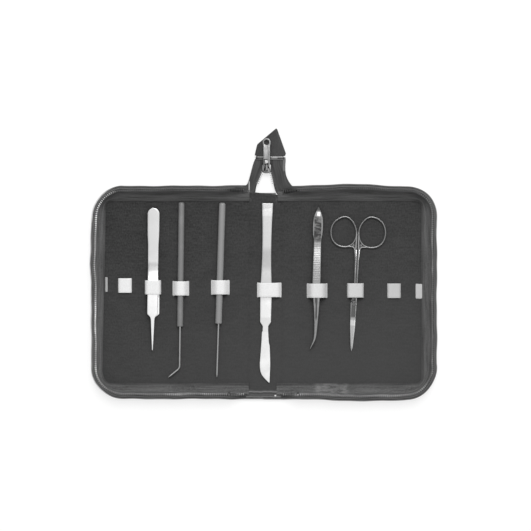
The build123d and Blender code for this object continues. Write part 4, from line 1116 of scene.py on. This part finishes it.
# Along Y, the tongue's teeth stand from the case's edge to under the clamp
ROW_START, ROW_END = 91.5, 110.6
spread = np.linspace(0, 1, 60)
across = np.linspace(0, 1, 14)[None, :]
for side, _, sign in HALVES:
    inner_line, outer_line = (resample(chaikin(line, 3), 0.6)[0] for line in wing_lines[side])
    toothed = inner_line[inner_line[:, 1] > ROW_START]
    inner_line, outer_line = (
        lerp(line, np.linspace(0, 1, len(line)), spread) for line in (inner_line, outer_line)
    )
    wide = outer_line - inner_line
    top = inner_line[:, None] + wide[:, None] * across[..., None] + [0, 0, 0.35]
    points = there_and_back(top, top - [0, 0, 0.7])
    v = there_and_back(across) * np.linalg.norm(wide, axis=1)[:, None]
    wing = strip(f"{side}_wing", points, wing_finish, distance(inner_line)[:, None], v)
    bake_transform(wing)
    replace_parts(wing, f"tongue_tape_{side}")
    places = resample(toothed[: -2 if side == "right" else None], TOOTH_PITCH)[0]
    places = places[places[:, 1] < ROW_END]
    run = unit(np.gradient(places, axis=0))
    inward = sign * np.column_stack([left_of(run), 0 * run[:, 0]])
    row = row_of_teeth(
        f"{side}_tongue_row", places, run, inward, tongue_tooth_finish, (0.55, 0.75, 0.62)
    )
    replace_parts(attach(row, "spine"), f"tongue_teeth_{side}")
    print(side, "wing:", len(wing.data.polygons), "faces")

# %% [markdown]
# ## Hems at the ends of the spine
#
# Between the two rims, each end of the spine has a turned hem that ties the rims together: the low
# one is two sewn ridges with a groove between them, and the top one is a single soft roll under the
# tongue. Each is a line in Y and Z carried along X, and it sinks towards its ends.


# %% Two hems
HEM_FOOT = 3.6


def hem(name, line, half, finish, node, stiff):
    """The line's height over HEM_FOOT is multiplied by 1 - 0.8 * (x / half)^6, and small waves are added.

    The middle, stiff to each side, rides the spine, and the ends past it are pieces of their own.
    """
    section = thick_line(chaikin(line, 2), 0.6)
    runs = [("", -stiff, stiff)]
    if stiff < half:
        runs += [("left_", -half, -stiff), ("right_", stiff, half)]
    for side, first, last in runs:
        x = np.linspace(first, last, 41)[:, None]
        z = HEM_FOOT + (section[None, :, 1] - HEM_FOOT) * (1 - 0.8 * (np.abs(x) / half) ** 6)
        y = section[None, :, 0] + 0.12 * np.sin(x / 2.3) + 0.1 * np.sin(x / 0.9 + 1)
        points = np.stack([np.broadcast_to(x, z.shape), y, z], -1)
        part = strip(f"{side}{name}", points, finish, x + half, distance(section))
        if side:
            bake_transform(part)
        else:
            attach(part, "spine")
        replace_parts(part, node)


low_line = [(-88.6, 3.2), (-88.2, 4.3), (-87.3, 4.7), (-86.3, 4.5), (-85.6, 3.9), (-84.6, 4.2), (-83.6, 4.5),
            (-82.8, 4.2), (-82.0, 3.4)]
high_line = [(74.8, 3.1), (75.8, 3.35), (77.0, 3.5), (78.3, 3.45), (79.6, 3.1)]
hem("low_hem", low_line, 14.9, low_hem_finish, "spine_gusset_bottom", 6.6)
hem("top_hem", high_line, 11.6, top_hem_finish, "spine_gusset_top", 11.6)
print("hems made")

# %% [markdown]
# ## Forceps
#
# Each forceps is two leaves of spring steel that lie together at the head and part like a narrow
# lens towards the tips. A leaf is an oval section with flat faces, whose width, middle and height
# change along the tool. The upper leaf bends where it leaves the head, so it is blended across the
# spring's joint. The curved pair has furrows filed across its grip, made as small waves in height.


# %% Forged and stamped bars
def tool_axes(tilt):
    """The directions across and along a tool that leans by tilt degrees."""
    lean = math.radians(tilt)
    return np.array([[math.cos(lean), math.sin(lean)], [-math.sin(lean), math.cos(lean)]])


def forged(name, finish, tool, edges, heights, squareness=0.4, furrows=None):
    """A section carried along Y: x = middle + w * |cos a|^q, z = level + h * |sin a|^q, with signs.

    edges holds (y, left, right) and heights (y, low, high). Small q makes the section squarer.
    Furrows, as (low, high, pitch, side), are waves that lower the face on that side.
    """
    edges, heights = np.array(edges, float), np.array(heights, float)
    y = np.unique(np.concatenate([np.linspace(edges[0, 0], edges[-1, 0], 240), edges[:, 0]]))
    if furrows:
        y = np.unique(np.concatenate([y, np.arange(furrows[0], furrows[1], furrows[2] / 6)]))
    a = np.linspace(0, 2 * np.pi, 29)
    cos, sin = np.cos(a)[None, :], np.sin(a)[None, :]

    def oval(table, wave):
        first, last = lerp(table[:, 1:], table[:, 0], y).T[..., None]
        return (first + last) / 2 + (last - first) / 2 * np.sign(wave) * np.abs(wave) ** squareness

    x, z = oval(edges, cos), oval(heights, sin)
    if furrows:
        low, high, pitch, side = furrows
        inside = np.clip((y - low) / 0.8, 0, 1) * np.clip((high - y) / 0.8, 0, 1)
        groove = 0.05 * inside * (0.5 + 0.5 * np.sin(2 * np.pi * y / pitch))
        z = z - side * groove[:, None] * np.clip(side * sin, 0, 1) ** squareness
    across, along = tool_axes(tool[2])
    flat = np.array(tool[:2]) + x[..., None] * across + y[:, None, None] * along
    return strip(name, np.concatenate([flat, z[..., None]], -1), finish, sharp=60)


MEETING_HEIGHT = 7.05


def leaf(name, finish, tool, edges, tops, upper, furrows=None):
    """One leaf of a forceps, from the height of the upper one's top along Y.

    The lower leaf is the upper one mirrored about the height where they meet.
    """
    tops = np.array(tops)
    y = np.linspace(tops[0, 0], tops[-1, 0], 200)
    smooth = np.hanning(9) / np.hanning(9).sum()
    top = np.convolve(np.pad(np.interp(y, tops[:, 0], tops[:, 1]), 4, mode="edge"), smooth, mode="valid")
    under = top - np.interp(y, [-50, -15], [0.85, 1.18])
    if not upper:
        under, top = 2 * MEETING_HEIGHT - top, 2 * MEETING_HEIGHT - under
    side = (1 if upper else -1,)
    furrows = furrows + side if furrows else None
    return forged(name, finish, tool, edges, np.column_stack([y, under, top]), furrows=furrows)


def round_end(start, half, radius):
    """Edge entries of a rounded end: half * sqrt(1 - (d / radius)^2) at distances d past start."""
    d = radius * np.sin(np.linspace(0.1, 1.54, 12))
    width = half * np.sqrt(1 - (d / radius) ** 2)
    return [(start + v, -w, w) for v, w in zip(d, width)]


forceps_edges = [
    (-52.7, -0.28, 0.28), (-46.6, -0.6, 0.6), (-34.6, -1.15, 1.15), (-27.5, -1.45, 1.45),
    (-26.2, -1.65, 1.65), (-25.0, -2.1, 2.1), (-23.8, -3.1, 3.0), (-22.6, -4.3, 3.85), (-21.8, -4.5, 4.0),
    (-10.6, -4.5, 4.05), (-4.0, -4.4, 4.2), (4.0, -4.35, 4.35), (35.0, -4.4, 4.4), (39.0, -4.6, 4.6),
    (43.0, -4.85, 4.85), (50.0, -4.95, 4.95), (61.6, -5.0, 5.0),
] + round_end(61.6, 5.0, 5.0)
forceps_tops = [(-52.7, 8.99), (-44, 9.29), (-35.8, 9.63), (-29, 9.93), (-22.7, 10.13), (-16.3, 10.24),
                (-6, 10.25), (-1.9, 10.22), (2, 10.1), (5, 9.9), (8.5, 9.5), (12.5, 9.02), (16.4, 8.58),
                (19.5, 8.32), (24, 8.25), (70, 8.25)]
curved_edges = [(-49.3, -3.78, -3.28), (-47.3, -3.05, -2.28), (-45.4, -2.3, -1.28), (-43.4, -1.55, -0.26),
                (-41.4, -1.0, 0.55), (-39.0, -0.65, 1.1), (-36.0, -0.45, 1.46), (-27.1, -0.67, 2.1),
                (-18.0, -1.2, 2.66), (-9.4, -2.0, 3.1), (-2.1, -2.6, 3.36), (7.0, -3.24, 3.44),
                (14.0, -3.25, 3.37), (25.0, -3.22, 3.22), (38.0, -3.05, 3.05), (43.0, -3.2, 3.2),
                (46.4, -4.0, 3.9), (52.0, -4.25, 4.2), (56.3, -4.2, 4.2), (60.8, -3.8, 3.8),
                (63.5, -3.0, 3.0), (66.2, -1.9, 1.9), (68.4, -0.95, 0.95), (69.8, -0.3, 0.3)]
curved_tops = [(-49.3, 8.89), (-42, 9.15), (-36, 9.31), (-27, 9.68), (-18, 10.05), (-9, 10.2), (2, 10.25),
               (9, 10.25), (15, 10.1), (20, 9.92), (24, 9.68), (28, 9.34), (31.5, 8.92), (34, 8.6),
               (36.7, 8.36), (41, 8.25), (70, 8.25)]
for name, finish, tool, edges, tops, bend, furrows in (
    ("forceps", forceps_steel, FORCEPS, forceps_edges, forceps_tops, 18.7, None),
    ("curved_forceps", curved_steel, CURVED_FORCEPS, curved_edges, curved_tops, 37.9, GRIP),
):
    # The lower leaf of the straight pair shows to the right of the upper one, past the elastic
    y, left, right = np.array(edges).T
    shown = 1.45 * np.clip((y + 25) / 2.5, 0, 1) * np.clip(-(y + 1) / 4, 0, 1) * (name == "forceps")
    below = np.column_stack([y, left, right + shown])
    lower = leaf(f"{name}_lower_leaf", finish, tool, below, tops, False, furrows)
    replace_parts(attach(lower, name), f"{name}_lower_arm")
    upper = leaf(f"{name}_upper_leaf", finish, tool, edges, tops, True, furrows)
    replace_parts(upper, f"{name}_upper_arm")
    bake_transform(upper)
    print(name, "leaves:", len(upper.data.polygons), "faces each")

# %% Scalpel
# A solid scalpel: a flat waisted handle, a sloping neck, and a leaf blade with its edge to the left
waist = np.linspace(-0.97, 0.87, 15)
scalpel_edges = [
    (-78.6, 3.9, 4.1), (-78.2, 3.2, 4.25), (-77.6, 2.6, 4.3), (-75.9, 0.8, 4.33), (-73.6, -1.3, 4.38),
    (-72.4, -2.2, 4.4), (-71.0, -2.9, 4.43), (-69.4, -3.45, 4.49), (-67.3, -3.9, 4.55), (-65.0, -4.12, 4.6),
    (-62.1, -4.2, 4.6), (-57.3, -3.9, 4.4), (-52.5, -3.6, 4.15), (-47.6, -3.3, 3.8), (-44.7, -3.15, 3.1),
    (-36.2, -2.85, 2.45), (-35.2, -2.3, 2.4), (-31.2, -2.3, 2.4), (-30.2, -2.9, 2.95), (-28.2, -4.3, 4.3),
    (-27.6, -4.6, 4.6), (-24.0, -4.68, 4.68), (-0.6, -4.95, 4.95),
] + [(37 + 37 * v, -3.84 - 1.1 * v * v, 3.84 + 1.1 * v * v) for v in waist]
scalpel_edges += [(71.9, -4.78, 4.78), (72.4, -4.5, 4.5)]
scalpel_heights = [(-78.6, 5.0, 5.5), (-47, 4.85, 5.65), (-36.2, 4.72, 5.78), (-31.2, 4.41, 6.09),
                   (-27.6, 4.13, 6.37), (-24, 3.87, 6.63), (66.4, 3.85, 6.65), (71.9, 4.18, 6.35),
                   (72.4, 4.5, 6.0)]
scalpel_bar = forged("scalpel_bar", scalpel_steel, SCALPEL, scalpel_edges, scalpel_heights, squareness=0.3)
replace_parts(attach(scalpel_bar, "scalpel_tool"), "scalpel")
print("scalpel:", len(scalpel_bar.data.polygons), "faces")

# %% Handles of the needles
# Turned bars: radius r, resting on the lining, straight to the foot, with a rounded top end
REST_HEIGHT = 3.86
for name, tool, r, foot, top, finish, slot in (
    ("bent_needle_handle", BENT_NEEDLE, 2.5, -33.0, 71.4, dark_plastic, "dark_handle"),
    ("straight_needle_handle", STRAIGHT_NEEDLE, 2.75, -30.6, 71.0, grey_plastic, "grey_handle"),
):
    y = np.array([foot, foot + 0.25, foot + 0.6, top - 1.8, top - 0.9, top - 0.3, top])
    v = np.array([0.8, 0.95, 1.0, 1.0, 0.93, 0.78, 0.5])
    edges = np.column_stack([y, -r * v, r * v])
    heights = np.column_stack([y, REST_HEIGHT + r * (1 - v), REST_HEIGHT + r * (1 + v)])
    bar = forged(f"{name}_bar", finish, tool, edges, heights, squareness=1.0)
    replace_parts(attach(bar, name.replace("handle", "tool")), name)
    print(name, "bar:", len(bar.data.polygons), "faces")


# %% Finger rings of the scissors
def wire(path, widths, height, middle, closed=False):
    """A wire of oval section along a line in the plane: path + cos(a) * w/2 * side, middle + sin(a) * h/2."""
    line = np.asarray(path, float)
    run = unit(np.roll(line, -1, 0) - np.roll(line, 1, 0) if closed else np.gradient(line, axis=0))
    side = left_of(run)
    a = np.linspace(0, 2 * np.pi, 13)
    half = np.broadcast_to(np.asarray(widths, float) / 2, len(line))[:, None, None]
    flat = line[:, None, :] + side[:, None, :] * np.cos(a)[None, :, None] * half
    z = middle + np.broadcast_to(np.sin(a), flat.shape[:2]) * height / 2
    points = np.concatenate([flat, z[..., None]], -1)
    if closed:
        points = np.concatenate([points, points[:1]])
        return points.reshape(-1, 3), [grid_faces(*points.shape[:2])]
    return points.reshape(-1, 3), strip_faces(*points.shape[:2])


def placed(points):
    """From the scissors' own axes to the case's: origin + x * across + y * along."""
    return np.column_stack([SCISSORS[:2] + points[:, :2] @ tool_axes(SCISSORS[2]), points[:, 2]])


def closed_curve(points, times=3):
    """A closed line rounded by cutting its corners."""
    line = np.asarray(points, float)
    for _ in range(times):
        after = np.roll(line, -1, 0)
        line = np.stack([0.75 * line + 0.25 * after, 0.25 * line + 0.75 * after], 1).reshape(-1, 2)
    return line


ring_lines = {
    "left": [(-11.7, 61.9), (-17.9, 59.0), (-21.9, 54.2), (-23.0, 47.9), (-21.5, 41.6), (-17.8, 37.6),
             (-13.2, 36.0), (-8.6, 36.1), (-5.4, 37.6), (-2.7, 40.6), (-1.1, 45.2), (-1.2, 50.1),
             (-3.0, 55.2), (-6.6, 59.9)],
    "right": [(11.4, 62.3), (17.2, 60.6), (21.5, 56.6), (23.4, 50.4), (22.9, 44.4), (20.4, 39.6),
              (16.1, 36.8), (11.0, 36.1), (6.6, 36.9), (3.2, 39.8), (1.1, 44.0), (0.6, 49.4), (1.9, 54.6),
              (4.4, 58.4), (7.4, 61.2)],
}
# Neck, tail and web of each ring: line, roundings, width at both ends, height, middle height
ring_roots = (
    ([(1.3, 33.4), (1.22, 37), (0.95, 41), (0.8, 47.5)], 2, (2.4, 1.3), 2.2, 5.15),
    ([(1.9, 33.6), (2.5, 35.6), (4.6, 36.4), (8.4, 36.2)], 2, (1.7, 1.1), 1.8, 5.1),
    ([(3.0, 40.2), (3.3, 36.8)], 0, (0.7, 3.2), 1.1, 5.0),
)
for side, body, sign in (("left", "scissors", -1), ("right", "scissors_lever", 1)):
    parts = [wire(closed_curve(ring_lines[side]), 1.7, 1.9, 5.15, closed=True)]
    for line, times, widths, height, middle in ring_roots:
        line = resample(chaikin(np.array(line) * [sign, 1], times), 0.8)[0]
        parts.append(wire(line, np.linspace(*widths, len(line)), height, middle))
    points, faces, shift = [], [], 0
    for part_points, part_faces in parts:
        points.append(part_points)
        faces += [face + shift for face in part_faces]
        shift += len(part_points)
    points = placed(np.concatenate(points))
    loop = piece(f"scissors_{side}_ring", points, faces, scissors_steel, sharp=50)
    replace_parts(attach(loop, body), f"scissors_{side}")
print("rings made")

# %% [markdown]
# ## Finishes on the rigid pieces
#
# The small metal pieces, the tab and the scissors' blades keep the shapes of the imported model. Its
# edges are knife sharp, though, and real ones are tumbled or polished round and catch a line of
# light. So a copy of each is made, its doubles are merged, the facets of each flat face are joined,
# and a Bevel rounds its edges. The scissors' own rings are cut away where the new ones begin.


# %% Rounded copies
def rounded(node, body, width, finish, slot, keep_below=None):
    """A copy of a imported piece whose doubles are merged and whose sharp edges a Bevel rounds.

    keep_below is a plane, as a point in it and its normal: what stands past it is cut away.
    """
    mesh = nodes[node].data.copy()
    mesh.name = f"{node}_rounded"
    shell = bmesh.new()
    shell.from_mesh(mesh)
    bmesh.ops.remove_doubles(shell, verts=shell.verts, dist=2e-6)
    bmesh.ops.dissolve_limit(shell, angle_limit=math.radians(0.6), verts=shell.verts, edges=shell.edges)
    if keep_below:
        point, normal = keep_below
        geometry = shell.verts[:] + shell.edges[:] + shell.faces[:]
        bmesh.ops.bisect_plane(shell, geom=geometry, plane_co=point, plane_no=normal, clear_outer=True)
        bmesh.ops.holes_fill(shell, edges=[edge for edge in shell.edges if edge.is_boundary])
    shell.to_mesh(mesh)
    shell.free()
    mesh.polygons.foreach_set("use_smooth", np.ones(len(mesh.polygons), bool))
    mesh.materials.clear()
    mesh.materials.append(finish)
    obj = bpy.data.objects.new(f"{node}_rounded", mesh)
    bpy.context.collection.objects.link(obj)
    bevel = obj.modifiers.new("rounded_edges", "BEVEL")
    bevel.width = width * MM
    bevel.segments = 2
    bevel.limit_method = "ANGLE"
    bevel.angle_limit = math.radians(32)
    bevel.use_clamp_overlap = False
    bevel.harden_normals = True
    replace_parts(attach(obj, body), node)
    return obj


ring_cut = (placed(np.array([[0.0, 34.2, 0.0]]))[0] * MM, (*tool_axes(SCISSORS[2])[1], 0.0))
for *settings, plane in (
    ("scissors_left", "scissors", 0.3, scissors_steel, "steel", ring_cut),
    ("scissors_right", "scissors_lever", 0.3, scissors_steel, "steel", ring_cut),
    ("slider_body", "zip_slider", 0.35, slider_nickel, "nickel", None),
    ("zip_pull", "pull", 0.3, slider_nickel, "nickel", None),
    ("end_clamp", "spine", 0.25, clamp_finish, "nickel", None),
    ("end_tab", "spine", 0.4, skin_finish, "leatherette", None),
):
    obj = rounded(*settings, keep_below=plane)
    print(obj.name, len(obj.data.polygons), "faces before its edges are rounded")

# %% Carried-over pieces
finishes = {
    board_finish: ["left_board", "right_board", "spine_board"],
    stop_finish: ["left_top_stop", "right_top_stop"],
    screw_finish: ["scissors_screw"],
    wire_steel: ["bent_needle", "straight_needle"],
}
for finish, names in finishes.items():
    for name in names:
        for material_slot in nodes[name].material_slots:
            material_slot.material = finish
print("finished nodes:", sum(len(names) for names in finishes.values()))
